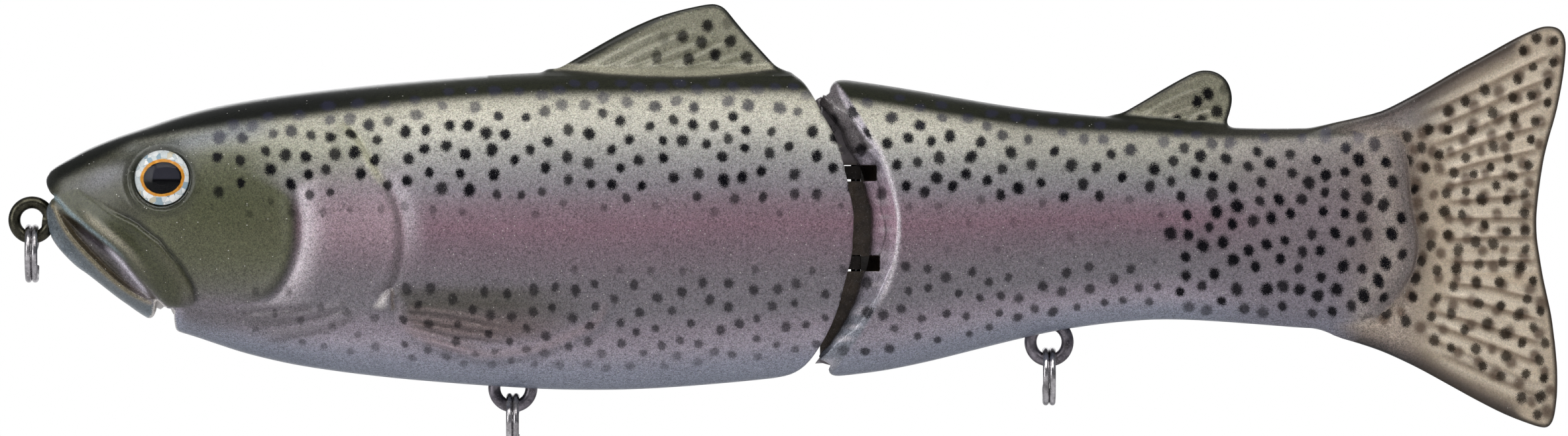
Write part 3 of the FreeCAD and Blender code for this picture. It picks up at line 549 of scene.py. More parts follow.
rear_tube = Tube([
    (122.0, 24.3, -26.5, 13.85, -0.7), (132.0, 23.4, -25.9, 13.5, -0.6), (142.0, 22.05, -24.6, 12.9, -0.5),
    (153.0, 20.15, -22.05, 11.9, -0.4), (166.0, 18.2, -18.95, 10.5, -0.2), (180.0, 16.95, -16.85, 8.8, 0.0),
    (194.0, 15.75, -16.75, 7.2, -0.2), (207.0, 15.2, -17.75, 5.7, -0.8), (218.0, 15.4, -17.6, 4.3, -1.0),
    (226.0, 14.9, -16.6, 3.3, -1.2), (236.0, 12.0, -14.0, 2.4, -1.2)])

rm = Map(126.0, 254.6, -37.0, 35.0)
rear_out = rm.area(TOP_R + BOT_R + [(127.6, -19.0), (126.6, 0.0), (127.6, 16.5)], 40.0, 3)
rim_d, rim_s, rim_a = rm.line(REAR_RIM, 60.0)
rim_sd = np.where(rim_d > 90, -99.0, rim_d * np.where(rim_s > 0, 1.0, -1.0))     # positive ahead of the rim
adi_sd = rm.area(ADIPOSE)
tail_sd = rm.area(TAIL, 30.0, 3)
step_d, step_s, step_a = rm.line(STEP, 30.0)
step_sd = np.where(step_d > 90, -99.0, step_d * np.where(step_s > 0, 1.0, -1.0))  # positive towards the fin
T = 1.15 + 0.75 * S((233.0 - rm.X) / 12.0) - 0.35 * S((rm.X - 236.0) / 12.0)
edge = np.maximum(-tail_sd, 0)
lead = np.exp(-((edge - 1.3) / 1.1) ** 2) * S((249.5 - rm.X) / 2.0)
T = T + 0.30 * lead
for P in TAIL_RAYS:
    d, s, a = rm.line(P)
    e = S(a / 0.25) * S((1 - a) / 0.10)
    T = T + e * (0.20 * np.exp(-(d / 0.5) ** 2) - 0.16 * np.exp(-((d - 1.2) / 0.55) ** 2))
tail_t = T
T = 1.25 - 0.55 * S((rm.Z - 16.5) / 7.0)
for P in ADI_RAYS:
    d, s, a = rm.line(P)
    e = S(a / 0.15) * S((1 - a) / 0.25)
    T = T + e * (0.16 * np.exp(-(d / 0.38) ** 2) - 0.10 * np.exp(-((d - 0.95) / 0.4) ** 2))
adi_t = T
R = rm.full(0.0)
# the last of the peduncle swells a little before its step
R += 0.25 * np.exp(-((step_sd + 3.2) / 1.8) ** 2)
rear_relief = R
SHOULDER, RIM_Y, TONGUE_Y = 4.4, 12.2, 3.4
# knocks and ripples on the shoulders: a ripple up their height, and two bumps with a dip between them in the upper half
# (the nicks at the top and bottom corners are in the TOP_R and BOT_R outlines)
shoulder_rough = 0.10 * np.sin(rm.Z * 0.9 + 0.4) + 0.03 * np.sin(rm.Z * 2.3 + rm.X * 0.8)
shoulder_rough += 0.22 * np.exp(-((rm.Z - 9.6) / 0.8) ** 2) + 0.20 * np.exp(-((rm.Z - 14.8) / 0.6) ** 2) - 0.15 * np.exp(-((rm.Z - 12.2) / 1.0) ** 2)


tongue_sd = rm.area([(129.95, 19.7), (130.6, 20.3), (134.5, 20.3), (146.0, 14.0), (146.0, -14.0), (134.5, -22.9), (131.4, -23.9), (129.6, -23.4)], 20.0, smooth=False)
tip_sd = rm.area([(128.8, 19.3), (129.5, 20.1), (130.6, 20.3), (131.4, 18.0), (131.4, 13.0), (130.2, 13.0), (129.2, 16.5)], 6.0)


def behind(x, y, z, sd):
    """Ahead-of-the-rim distance, the core's shoulders sloping forward towards the tongue."""
    return sd - SHOULDER * 0.96 * np.clip((RIM_Y - np.abs(y)) / (RIM_Y - TONGUE_Y), 0, 1)


def cheek(x, y, z, sd):
    """The same for the painted cap over those shoulders: a rounded lip, a slope, a step, then nearly flat."""
    q = np.abs(y)
    drop = np.interp(q, [3.0, 5.0, 7.9, 8.7, 9.6, 10.2, 11.4, 12.6, 13.4], [4.62, 4.55, 4.25, 3.75, 2.35, 1.95, 1.45, 0.45, 0.0])
    drop = drop * np.clip(1 - 0.16 * S((-z - 8) / 9.0), 0, 1)
    return sd - drop


def rear_field(x, y, z):
    ay = np.abs(y)
    w = rear_tube.at(x)[2]
    tube = rear_tube.dist(x, y, z)
    relief = rm.read(rear_relief, x, z) * S((ay / w - 0.1) / 0.3)
    d = smax(tube - relief, rm.read(rear_out, x, z), 0.45)
    d = smax(d, rm.read(step_sd, x, z) * 0.9, 0.9)
    rim = rm.read(rim_sd, x, z)
    rough = rm.read(shoulder_rough, x, z)
    d = smax(d, cheek(x, y, z, rim + rough), 0.35)
    tail = slab(rm.read(tail_sd, x, z), y, rm.read(tail_t, x, z), 0.6)
    tail = np.maximum(tail, 206.0 - x)
    d = smin(d, tail, 1.1)
    adi = slab(rm.read(adi_sd, x, z), y, rm.read(adi_t, x, z), 0.45)
    d = smin(d, adi, 1.6)
    cav = np.maximum(tube + 2.15, x - 207.2)
    cav = np.maximum(cav, behind(x, y, z, rim) + 0.12)
    d = smax(d, -cav, 0.3)
    d = smax(d, -np.maximum(np.hypot(x - 167.3, z + 20.05) - 4.16, ay - 1.12), 0.2)
    d = smax(d, -np.maximum(np.maximum(ay - 3.5, rm.read(tongue_sd, x, z) - 0.12), x - 140.0), 0.12)
    tip = np.maximum(slab(rm.read(tip_sd, x, z), y, 2.6, 0.6), x - 129.9)
    d = np.minimum(d, tip)
    for lz in (7.8, -7.0):
        d = smax(d, -np.maximum(np.abs(z - lz + 0.1) - 1.32, x - (138.9 if lz > 0 else 139.4)), 0.15)
    return d


# =====================================================================
# spots
# =====================================================================


class Girth:
    """Length round the body from its widest line, at x and angle, so that spots keep their shape on curved sides."""

    def __init__(self, tube, x0, x1):
        self.tube = tube
        self.xs = np.linspace(x0, x1, 320)
        zt, zb, w, zw = tube.at(self.xs)
        self.th = np.linspace(0, math.pi / 2, 90)
        self.n = tube.n
        a = np.cos(self.th) ** (2 / self.n)
        b = np.sin(self.th) ** (2 / self.n)
        self.L = []
        for hz in (zt - zw, zw - zb):
            px = w[:, None] * a[None]
            pz = hz[:, None] * b[None]
            seg = np.hypot(np.diff(px, axis=1), np.diff(pz, axis=1))
            self.L.append(np.concatenate([np.zeros((len(self.xs), 1)), np.cumsum(seg, 1)], 1))

    def look(self, T, x, th):
        u = np.clip((x - self.xs[0]) / (self.xs[1] - self.xs[0]), 0, len(self.xs) - 1.001)
        v = np.clip(th / (self.th[1] - self.th[0]), 0, len(self.th) - 1.001)
        i, j = u.astype(int), v.astype(int)
        u, v = u - i, v - j
        return T[i, j] * (1 - u) * (1 - v) + T[i + 1, j] * u * (1 - v) + T[i, j + 1] * (1 - u) * v + T[i + 1, j + 1] * u * v

    def s(self, x, y, z):
        zt, zb, w, zw = self.tube.at(x)
        up = z >= zw
        hz = np.where(up, zt - zw, zw - zb)
        th = np.arctan2((np.abs(z - zw) / hz) ** (self.n / 2), np.maximum(np.abs(y) / w, 1e-4) ** (self.n / 2))
        return np.where(up, self.look(self.L[0], x, th), -self.look(self.L[1], x, th))

    def z(self, x, s):
        """Height of the place x, s on the body."""
        i = min(len(self.xs) - 1, max(0, int(round((x - self.xs[0]) / (self.xs[1] - self.xs[0])))))
        row = self.L[0 if s >= 0 else 1][i]
        th = np.interp(abs(s), row, self.th)
        zt, zb, w, zw = self.tube.at(np.array([x]))
        hz = (zt - zw) if s >= 0 else (zw - zb)
        return float(zw[0] + math.copysign(1, s) * hz[0] * math.sin(th) ** (2 / self.n)), abs(s) > row[-1] - 0.3


def scatter(rng, x0, x1, v0, v1, rule, tries=34000):
    """Spots thrown at random and kept where the rule allows: rows of x, v, radius, strength, blue."""
    out = []
    cell = 3.0
    grid = {}
    P = rng.random((tries, 2))
    for a, b in P:
        x, v = x0 + a * (x1 - x0), v0 + b * (v1 - v0)
        r = rule(x, v)
        if r is None:
            continue
        gap, rad, strong, blue = r
        ci, cj = int(x // cell), int(v // cell)
        ok = True
        for i in range(ci - 2, ci + 3):
            for j in range(cj - 2, cj + 3):
                for q in grid.get((i, j), ()):
                    if math.hypot(x - q[0], (v - q[1])) < 0.365 * (gap + q[5]):
                        ok = False
                        break
                if not ok:
                    break
            if not ok:
                break
        if ok:
            k = 0.84 + 0.32 * rng.random()
            row = (x, v, rad * k, strong * (0.86 + 0.14 * rng.random()), blue, gap)
            out.append(row)
            grid.setdefault((ci, cj), []).append(row)
    return out


def lay(spots, x, v, rng, halo=2.2):
    """The nearest spot's 1 - d/r at each place, and its strength and blue."""
    order = np.argsort(x)
    xs, vs = x[order], v[order]
    best = np.full(len(x), -halo)
    st = np.zeros(len(x))
    bl = np.zeros(len(x))
    for (sx, sv, r, s, b, g) in spots:
        R_ = r * (1 + halo)
        i0, i1 = np.searchsorted(xs, sx - R_), np.searchsorted(xs, sx + R_)
        if i0 == i1:
            continue
        tilt = rng.uniform(-0.5, 0.5)
        stretch = 1.0 + rng.uniform(0.04, 0.30)
        dx, dv = xs[i0:i1] - sx, vs[i0:i1] - sv
        c, n = math.cos(tilt), math.sin(tilt)
        u, w = (dx * c - dv * n) * stretch ** 0.5, (dx * n + dv * c) / stretch ** 0.5
        d = 1 - np.hypot(u, w) / r
        m = d > best[i0:i1]
        idx = np.arange(i0, i1)[m]
        best[idx] = d[m]
        st[idx] = s
        bl[idx] = b
    A, B, C = np.empty(len(x)), np.empty(len(x)), np.empty(len(x))
    A[order], B[order], C[order] = best, st, bl
    return A, B, C


# =====================================================================
# paint
# =====================================================================


def lin(c):
    c = np.asarray(c, float) / 255
    return np.where(c <= 0.04045, c / 12.92, ((c + 0.055) / 1.055) ** 2.4)


def ramp(stops, t):
    ks = np.array([k for k, _ in stops], float)
    cs = np.array([lin(c) for _, c in stops])
    return np.stack([np.interp(t, ks, cs[:, i]) for i in range(3)], -1)


def over(C, colour, mask):
    """Paint laid over a colour by a mask 0 to 1."""
    m = np.clip(mask, 0, 1)[..., None]
    c = lin(colour) if isinstance(colour, tuple) else colour
    return C * (1 - m) + c * m


# flank colours from belly (0) to back (1); the pale cream stops towards the top are partly painted highlight, where the
# light falls on the upper flank
SIDE = [(0.00, (122, 128, 142)), (0.06, (134, 136, 150)), (0.12, (148, 141, 152)), (0.17, (134, 125, 135)),
        (0.24, (110, 106, 112)), (0.34, (105, 99, 105)), (0.44, (110, 94, 103)), (0.51, (120, 95, 106)),
        (0.57, (122, 104, 113)), (0.63, (124, 118, 124)), (0.70, (137, 135, 136)), (0.76, (151, 150, 145)),
        (0.81, (162, 160, 150)), (0.88, (172, 169, 155)), (1.0, (178, 175, 158))]
BACK = (33, 35, 22)


def body_coat(M, tube, band, soft):
    """The flank colours, belly to back, with the dark back on top."""
    zt, zb, w, zw = tube.at(M.xs)
    h = (M.Z - zb[:, None]) / (zt - zb)[:, None]
    C = ramp(SIDE, h)
    dt = zt[:, None] - M.Z
    k = 1 - S((dt - (band[:, None] - soft)) / (2 * soft))
    return over(C, BACK, k), h, dt


# ---- front
band = np.interp(fm.xs, [0, 6, 11, 17, 22, 30, 45, 60, 84, 100, 112, 124, 138], [3.0, 3.3, 2.9, 2.0, 2.7, 3.6, 4.1, 3.9, 3.9, 4.2, 4.1, 3.3, 2.4])
C, h, dt = body_coat(fm, front_tube, band, 1.0)
X, Z = fm.X, fm.Z
# greener grey shoulders behind the head
C = over(C, (128, 129, 106), 0.55 * S((66 - X) / 16) * np.exp(-(((Z - 11.5) / 5.0) ** 2)) * (dt > 3))
# gill cover: pink grey; above its lower part the flank round x 66 mm is painted a little lighter, painted light falling
# from the head's side, which leaves the lower part duskier
pinkish = S((X - 44) / 3) * S((64 - X) / 4) * np.exp(-((Z - 0.5) / 6.0) ** 2)
C = over(C, (150, 130, 138), 0.70 * pinkish)
C = C * (1 + 0.07 * np.exp(-((X - 66) / 11) ** 2) * S((Z + 7) / 6))[..., None]
# cheek and snout, olive
pre_x = np.interp(Z[0], [p[1] for p in PREOP[::-1]], [p[0] for p in PREOP[::-1]])[None, :]
soft = 1.5 + 12.0 * S((Z - 3.0) / 6.0)
cheek_ = S((pre_x - 0.2 - X + 3.0 * S((Z - 3.0) / 6.0)) / soft) * (1 - S((Z - 10.0) / 5.0)) * S((Z + 15.5) / 7.5)
C = over(C, (78, 80, 58), cheek_ * 0.96)
low = S((-Z - 3.0) / 8.0)
C = over(C, (94, 93, 84), cheek_ * S((-Z - 4.5) / 8.0) * 0.80)
C = over(C, (66, 70, 46), cheek_ * np.exp(-(((X - 32) / 8.0) ** 2 + ((Z - 2.0) / 4.5) ** 2)) * 0.6)
# grey band over and behind the eye, up to the dark crown
C = over(C, (112, 116, 120), S((44 - X) / 10) * np.exp(-((dt - 5.0) / 1.9) ** 2) * S((X - 8) / 8) * 0.85)
C = over(C, (62, 62, 50), S((21 - X) / 5) * (1 - S((Z - 11.5) / 2.0)) * 0.95)
# paler grey on the snout, partly painted highlight, and a small painted highlight above and in front of the eye
C = over(C, (96, 96, 99), np.exp(-(((X - 12.0) / 4.2) ** 2 + ((Z - 6.9 - (X - 12) * 0.35) / 1.7) ** 2)) * 0.95)
C = over(C, (112, 113, 108), np.exp(-(((X - 17.2) / 2.4) ** 2 + ((Z - 11.9) / 1.1) ** 2)) * 0.75)
# crown
C = over(C, (16, 18, 12), (1 - S((dt - (band[:, None] - 1.0)) / 1.9)) * S((70 - X) / 26))
C = over(C, (30, 31, 26), S((5.4 - X) / 2.6) * S((Z - 4.5) / 1.5))
# upper jaw plate: dark olive, a browner band below its top crease towards the rear, a painted highlight along its lower
# edge, a pale line at the lip's edge that is painted highlight, and painted shade in the thin top crease
mx = S(-max_sd / 0.5)
C = over(C, (57, 59, 40), mx * 0.94)
C = over(C, (86, 84, 68), mx * S((X - 18) / 5) * np.exp(-((mtop_d - 1.2) / 1.2) ** 2) * 0.5)
C = over(C, (158, 152, 134), mx * np.exp(-((lip_d - 1.35) / 0.62) ** 2) * (0.28 + 0.55 * np.exp(-((X - 12.0) / 3.6) ** 2)) * S((X - 7.5) / 3) * S((21 - X) / 5))
C = over(C, (132, 150, 156), np.exp(-(lip_d / 0.30) ** 2) * S((17 - X) / 5) * 0.80)
C = over(C, (22, 24, 20), np.exp(-((mtop_d) / 0.36) ** 2) * S((X - 13) / 4) * 0.85)
# mouth: the groove painted dark brown as painted shadow of the recess, with a paler band and a bright painted highlight
# along the lip's edge inside it, and a brownish line by the jaw's rim
g = S((-groove_sd + 0.1) / 0.7)
C = over(C, (38, 33, 25), g * 0.95)
C = over(C, (74, 68, 76), g * np.exp(-((lip_d - 1.3) / 0.9) ** 2) * S((X - 7.0) / 3) * 0.8)
C = over(C, (226, 220, 232), g * np.exp(-((lip_d - 0.80) / 0.42) ** 2) * S((X - 11.6) / 2.5) * S((20.4 - X) / 2.2) * 0.92)
C = over(C, (150, 142, 152), g * np.exp(-((lip_d - 1.6) / 0.55) ** 2) * S((X - 13.5) / 2.5) * S((19.6 - X) / 2.2) * 0.45)
C = over(C, (84, 74, 56), g * np.exp(-((ridge_d - 0.9) / 0.4) ** 2) * 0.5)
# lower jaw
jaw = S((groove_sd) / 0.5) * (ridge_s < 0) * S((5.0 - ridge_d) / 1.0) * S((20.6 - X) / 0.6) * (Z < 3.2)
C = over(C, (88, 96, 101), jaw * 0.95)
C = over(C, (112, 122, 130), jaw * S((ridge_d - 1.1) / 1.2) * 0.8)
# pale line along the jaw's ridge: painted highlight
C = over(C, (146, 135, 110), np.exp(-((ridge_d - 0.1) / 0.28) ** 2) * (max_sd > 0.1) * 0.55)
# round the eye: a dark ring in the gap of the socket, painted shade, and a darker olive band over the rim
C = over(C, (20, 23, 18), (1 - S((eye_r - 4.85) / 0.9)) * 0.95)
C = over(C, (48, 50, 38), np.exp(-((eye_r - 5.4) / 1.2) ** 2) * 0.55)
# creases of the cheek and the gill cover: painted shade in each crease and painted highlights beside them, and the same
# along the folds below
f_ = S(pre_a / 0.12) * S((1 - pre_a) / 0.35)
C = over(C, (46, 46, 38), f_ * np.exp(-((pre_d * pre_s + 0.9) / 0.9) ** 2) * 0.60)
q_ = pre_d * pre_s - 0.85
C = over(C, (190, 180, 186), f_ * np.exp(-(q_ / np.where(q_ < 0, 0.75, 2.5)) ** 2) * 0.76 * S((0.80 - pre_a) / 0.30))
f_ = S(op_a / 0.08) * S((1 - op_a) / 0.14)
up = 1 - S((op_a - 0.30) / 0.12)
C = over(C, (176, 174, 148), f_ * up * np.exp(-((op_d * op_s + 0.35) / 0.7) ** 2) * 0.75)
C = over(C, (84, 79, 80), f_ * (1 - up) * np.exp(-((op_d * op_s + 0.5) / 0.6) ** 2) * 0.45)
q_ = op_d * op_s - 1.3
C = over(C, (178, 171, 178), f_ * (1 - up) * np.exp(-(q_ / np.where(q_ < 0, 0.8, 2.0)) ** 2) * 0.62 * S((0.80 - op_a) / 0.3))
for P in FOLDS:
    d, s, a = fm.line(P)
    e = S(a / 0.2) * S((1 - a) / 0.15)
    C = over(C, (62, 59, 58), e * np.exp(-((d * s + 0.3) / 0.5) ** 2) * 0.5)
    C = over(C, (142, 136, 140), e * np.exp(-((d * s - 0.8) / 0.6) ** 2) * 0.5)
# throat
C = over(C, (92, 88, 91), S((50 - X) / 14) * S((X - 24) / 2) * np.exp(-((Z + 15.0 + (X - 24) * 0.10) / 2.7) ** 2) * 0.80)
C = over(C, (110, 116, 130), S((X - 23.5) / 1.0) * S((60 - X) / 20) * S((-17.2 - (X - 24) * 0.18 - Z) / 2.6) * 0.7)
# pectoral fin
p = S((-pec_sd + 1.4 * S((-9.0 - Z) / 1.0) * S((Z + 13.5) / 2.0)) / 3.4)
pb = S((-pec_sd) / 3.0)
C = over(C, (62, 60, 48), p * S((X - 58.5) / 3.0) * S((98 - X) / 22) * np.exp(-((Z + 12.9) / 3.4) ** 2) * 0.88)
C = over(C, (92, 78, 75), p * S((X - 59.5) / 3) * S((94 - X) / 16) * np.exp(-((Z + 17.6) / 2.6) ** 2) * 0.78)
for P in PEC_RAYS:
    d, s, a = fm.line(P)
    e = S(a / 0.1) * S((1 - a) / 0.3)
    C = over(C, (62, 52, 50), e * np.exp(-((d) / 0.26) ** 2) * 0.50)
    C = over(C, (136, 120, 118), e * np.exp(-((d * s - 0.7) / 0.38) ** 2) * 0.38)
# painted shade just outside the fin's lower edge, a painted highlight along that edge, and a painted highlight on the
# left of the fin's raised root
C = over(C, (86, 86, 94), np.exp(-((pec_sd - 0.5) / 0.7) ** 2) * S((X - 60) / 4) * S((-13.5 - Z) / 2) * 0.40)
C = over(C, (160, 142, 147), np.exp(-((pec_sd + 0.8) / 0.75) ** 2) * S((X - 59) / 4) * S((97 - X) / 5) * S((-12.5 - Z) / 2) * 0.50)
C = over(C, (196, 190, 188), S(-bump_sd / 0.9) * S((59.4 - X - (Z + 13) * -0.2) / 1.6) * 0.85)
C = over(C, (120, 108, 96), S(-bump_sd / 0.4) * S((X - 59.1) / 0.5) * 0.6)
front_flank = C
# dorsal fin
F = np.broadcast_to(lin((146, 144, 128)), C.shape).copy()
edge = np.maximum(-dorsal_sd, 0)
lead = S((108 - X) / 12)
F = over(F, (120, 119, 100), S((X - 96) / 14) * 0.5)
for P in DORSAL_RAYS:
    d, s, a = fm.line(P)
    e = S(a / 0.12) * S((1 - a) / 0.3)
    F = over(F, (102, 101, 82), e * np.exp(-((d * s - 0.9) / 0.55) ** 2) * 0.55)
F = over(F, (24, 26, 20), (1 - S((edge - 0.40 - 0.5 * lead) / (0.40 + 0.5 * lead))) * (Z > 24.6))
F = over(F, (172, 168, 148), np.exp(-((base_d - 0.30) / 0.30) ** 2) * 0.65)
below = S((-(Z - np.interp(fm.xs, [p[0] for p in DORSAL_BASE], [p[1] for p in DORSAL_BASE])[:, None]) - 0.2) / 0.5)
F = over(F, (50, 49, 43), below)
front_fin = F

# ---- rear
band = np.interp(rm.xs, [126, 132, 150, 168, 182, 196, 210, 225], [3.3, 3.5, 3.5, 3.3, 2.6, 2.2, 1.8, 1.6])
C, h, dt = body_coat(rm, rear_tube, band, 0.8)
X, Z = rm.X, rm.Z
# narrower pale upper flank (partly painted highlight) and greyer peduncle towards the tail
C = C * (1 - 0.34 * S((X - 146) / 20) * S((h - 0.62) / 0.2))[..., None]
ped = S((X - 186) / 22)
P_ = ramp([(0.0, (112, 112, 124)), (0.12, (118, 112, 121)), (0.35, (110, 101, 107)), (0.6, (120, 109, 114)), (0.85, (124, 117, 116)), (1.0, (120, 116, 108))], h)
C = over(C, P_, ped * (1 - (dt < band[:, None]) * 0.8))
C = over(C, (128, 116, 110), S((X - 212) / 12) * 0.8)
# painted shade in the crease ahead of the step before the tail, and a painted highlight on the swell ahead of that
C = over(C, (88, 85, 84), np.exp(-((step_sd + 0.9) / 0.8) ** 2) * S((X - 214) / 6) * 0.45)
C = over(C, (158, 150, 144), np.exp(-((step_sd + 4.2) / 1.8) ** 2) * S((X - 214) / 6) * 0.45)
rear_flank = C
# tail fin
F = np.broadcast_to(lin((214, 198, 176)), C.shape).copy()
F = over(F, (150, 137, 126), S((233 - X) / 8) * 0.9)
F = over(F, (138, 132, 130), S((Z - 13.5) / 3) * S((238 - X) / 12) * 0.85)
# each ray darker, with the thin skin between rays painted brighter: painted light shining through
for i, P in enumerate(TAIL_RAYS):
    d, s, a = rm.line(P)
    e = S(a / 0.2) * S((1 - a) / 0.12)
    F = over(F, (112, 94, 80), e * np.exp(-((d) / 0.55) ** 2) * 0.72)
    F = over(F, (244, 234, 216), e * np.exp(-((d - 1.15) / 0.5) ** 2) * 0.58)
edge = np.maximum(-tail_sd, 0)
# painted light shining through the thin skin near the trailing edge
F = over(F, (206, 194, 176), np.exp(-((edge - 2.4) / 1.1) ** 2) * S((X - 246) / 2) * 0.55)
# painted shade just behind the step
F = over(F, (112, 98, 88), np.exp(-((step_sd - 0.9) / 0.9) ** 2) * 0.55)
ld = S((246.0 - X) / 3.0)
F = over(F, (100, 90, 86), (1 - S((edge - 1.2) / 2.6)) * ld * 0.85)
F = over(F, (58, 53, 52), (1 - S((edge - 0.35 - 0.3 * ld) / (0.5 + 0.6 * ld))) * 0.85)
F = over(F, (26, 24, 24), (1 - S((edge - 0.15) / 0.30)) * 0.9)
rear_tail = F
# adipose fin
F = np.broadcast_to(lin((128, 126, 108)), C.shape).copy()
edge = np.maximum(-adi_sd, 0)
for P in ADI_RAYS:
    d, s, a = rm.line(P)
    e = S(a / 0.15) * S((1 - a) / 0.25)
    F = over(F, (88, 88, 72), e * np.exp(-((d * s - 0.7) / 0.45) ** 2) * 0.5)
    F = over(F, (158, 152, 136), e * np.exp(-((d) / 0.4) ** 2) * 0.4)
F = over(F, (28, 29, 24), (1 - S((edge - 0.3) / 0.55)))
rear_adi = F

# =====================================================================
# the two skins
# =====================================================================


def front_rule(x, s):
    z, top = front_girth.z(x, s)
    zt, zb, w, zw = front_tube.at(np.array([x]))
    dt = float(zt[0]) - z
    if x > 135.0 or top and z > 0:
        return None
    if z > 0.9:
        if x < 30.5:
            return None
        lim = np.interp(x, [30, 33, 60], [7.2, 5.2, 3.0])
        if z > zt[0] - lim * 0.72:
            return None
        if x < 36 and z < 3.0:
            return None
        faint = S(np.array([(dt - 3.2) / 5.0]))[0]
        if z < 3.2:
            return 5.2, 0.60, 0.48, 0.0
        if z < 4.8:
            return 4.6, 0.74, 0.88, 0.0
        return 4.1, 0.88 + 0.10 * (1 - faint), 0.48 + 0.58 * faint, 1 - faint
    if z > -8.0:
        return None
    if x < 44:
        return (5.4, 0.6, 0.42, 0.0) if (x > 37 and -18 < z < -11.5) else None
    if z < float(zb[0]) + 3.6:
        return None
    if x < 60:
        return (4.9, 0.66, 0.5, 0.0) if z < -13.8 else None
    if x < 88 and z > -10.6:
        return None
    fade = S(np.array([(z + 24.5) / 6.0]))[0]
    if z > -9.6:
        return 4.7, 0.62, 0.55, 0.0
    return 4.05, 0.72, 0.44 + 0.36 * fade, 0.0


def rear_rule(x, s):
    z, top = rear_girth.z(x, s)
    zt, zb, w, zw = rear_tube.at(np.array([x]))
    dt = float(zt[0]) - z
    if (top and z > 0) or x > 226.5:
        return None
    wide = float(S(np.array([(x - 184) / 8.0]))[0])
    if z > 2.2 - 30 * wide and z < float(zt[0]) - 1.7 and z > float(zb[0]) + 1.6:
        faint = S(np.array([(dt - 1.9) / (4.8 - 2.6 * wide)]))[0]
        edge = S(np.array([(z - float(zb[0]) - 1.4) / 2.0]))[0]
        if z < 3.6 and wide < 0.3:
            return 4.8, 0.66, 0.50, 0.0
        gap = 3.95 - 0.25 * wide
        return gap + 0.1, 0.89, (0.5 + 0.56 * faint) * (0.55 + 0.45 * edge), 1 - faint
    if wide < 0.6 and z < -7.6 and z > float(zb[0]) + 3.0:
        return 4.15, 0.75, 0.82, 0.0
    if wide < 0.6 and 2.2 >= z > -7.6 and x > 150:
        return 7.0, 0.6, 0.30, 0.0
    return None


def tail_rule(x, z):
    q = np.array([x]), np.array([z])
    sd = float(rm.read(tail_sd, *q)[0])
    st = float(rm.read(step_sd, *q)[0])
    if sd > -1.4 or st < 0.4:
        return None
    top = sd > -5.0 and x < 245 and abs(z) > 10
    if top:
        return None
    return 4.0, 0.80, 1.0, 0.0


DORSAL_SPOTS = [(111.1, 31.94, 0.95), (107.0, 30.19, 0.9), (110.1, 29.21, 0.9), (114.9, 29.43, 0.95), (102.8, 26.81, 0.75),
                (108.0, 26.49, 0.92), (112.4, 27.14, 0.98), (117.6, 26.70, 0.9), (103.9, 29.97, 0.4), (114.4, 32.37, 0.45)]
CAP_SPOTS = [(134.97, 17.66, 0.95), (137.7, 14.4, 1.0), (136.4, 11.5, 0.9), (138.7, 8.7, 0.5), (139.7, 4.3, 0.75), (137.3, -10.3, 0.8),
             (137.4, -15.2, 0.9), (133.2, 11.7, 0.8), (131.7, 16.4, 0.85), (134.0, -16.8, 0.5), (133.5, -21.4, 0.6)]
ADI_SPOTS = [(193.4, 20.7, 1.0), (191.7, 19.5, 1.0), (194.9, 17.9, 0.95), (188.2, 16.2, 1.0), (192.4, 16.35, 0.9), (196.2, 21.6, 0.5)]


def clear_of_edges(q):
    """Whether a spot of the rear body lies clear of the rim and of the step before the tail."""
    px, pz = np.array([q[0]]), np.array([rear_girth.z(q[0], q[1])[0]])
    return rm.read(rim_sd, px, pz)[0] < -0.6 and rm.read(step_sd, px, pz)[0] < -1.5


def listed(rows, rng, flip):
    return [(x + (rng.uniform(-1.2, 1.2) if flip else 0), z + (rng.uniform(-0.8, 0.8) if flip else 0), 0.9 * (0.85 + 0.2 * k), k, 0.0, 4.0) for x, z, k in rows]


def skin(name, V, Q, parts, body):
    """A painted skin object. parts gives arrays for each vertex."""
    me = bpy.data.meshes.new(name)
    me.vertices.add(len(V))
    me.vertices.foreach_set("co", (V * MM).astype(f32).ravel())
    me.loops.add(Q.size)
    me.loops.foreach_set("vertex_index", Q.astype(np.int32).ravel())
    me.polygons.add(len(Q))
    me.polygons.foreach_set("loop_start", np.arange(0, Q.size, 4, dtype=np.int32))
    me.polygons.foreach_set("loop_total", np.full(len(Q), 4, np.int32))
    me.update(calc_edges=True)
    me.polygons.foreach_set("use_smooth", np.ones(len(Q), bool))
    for key, val in parts.items():
        if val.ndim == 2:
            a = me.attributes.new(key, "FLOAT_COLOR", "POINT")
            rgba = np.ones((len(V), 4), f32)
            rgba[:, :3] = val
            a.data.foreach_set("color", rgba.ravel())
        else:
            a = me.attributes.new(key, "FLOAT", "POINT")
            a.data.foreach_set("value", val.astype(f32))
    me.validate()
    me.update()
    ob = bpy.data.objects.new(name, me)
    bpy.context.scene.collection.objects.link(ob)
    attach(ob, body)
    return ob


PLASTIC = lin((150, 147, 138))


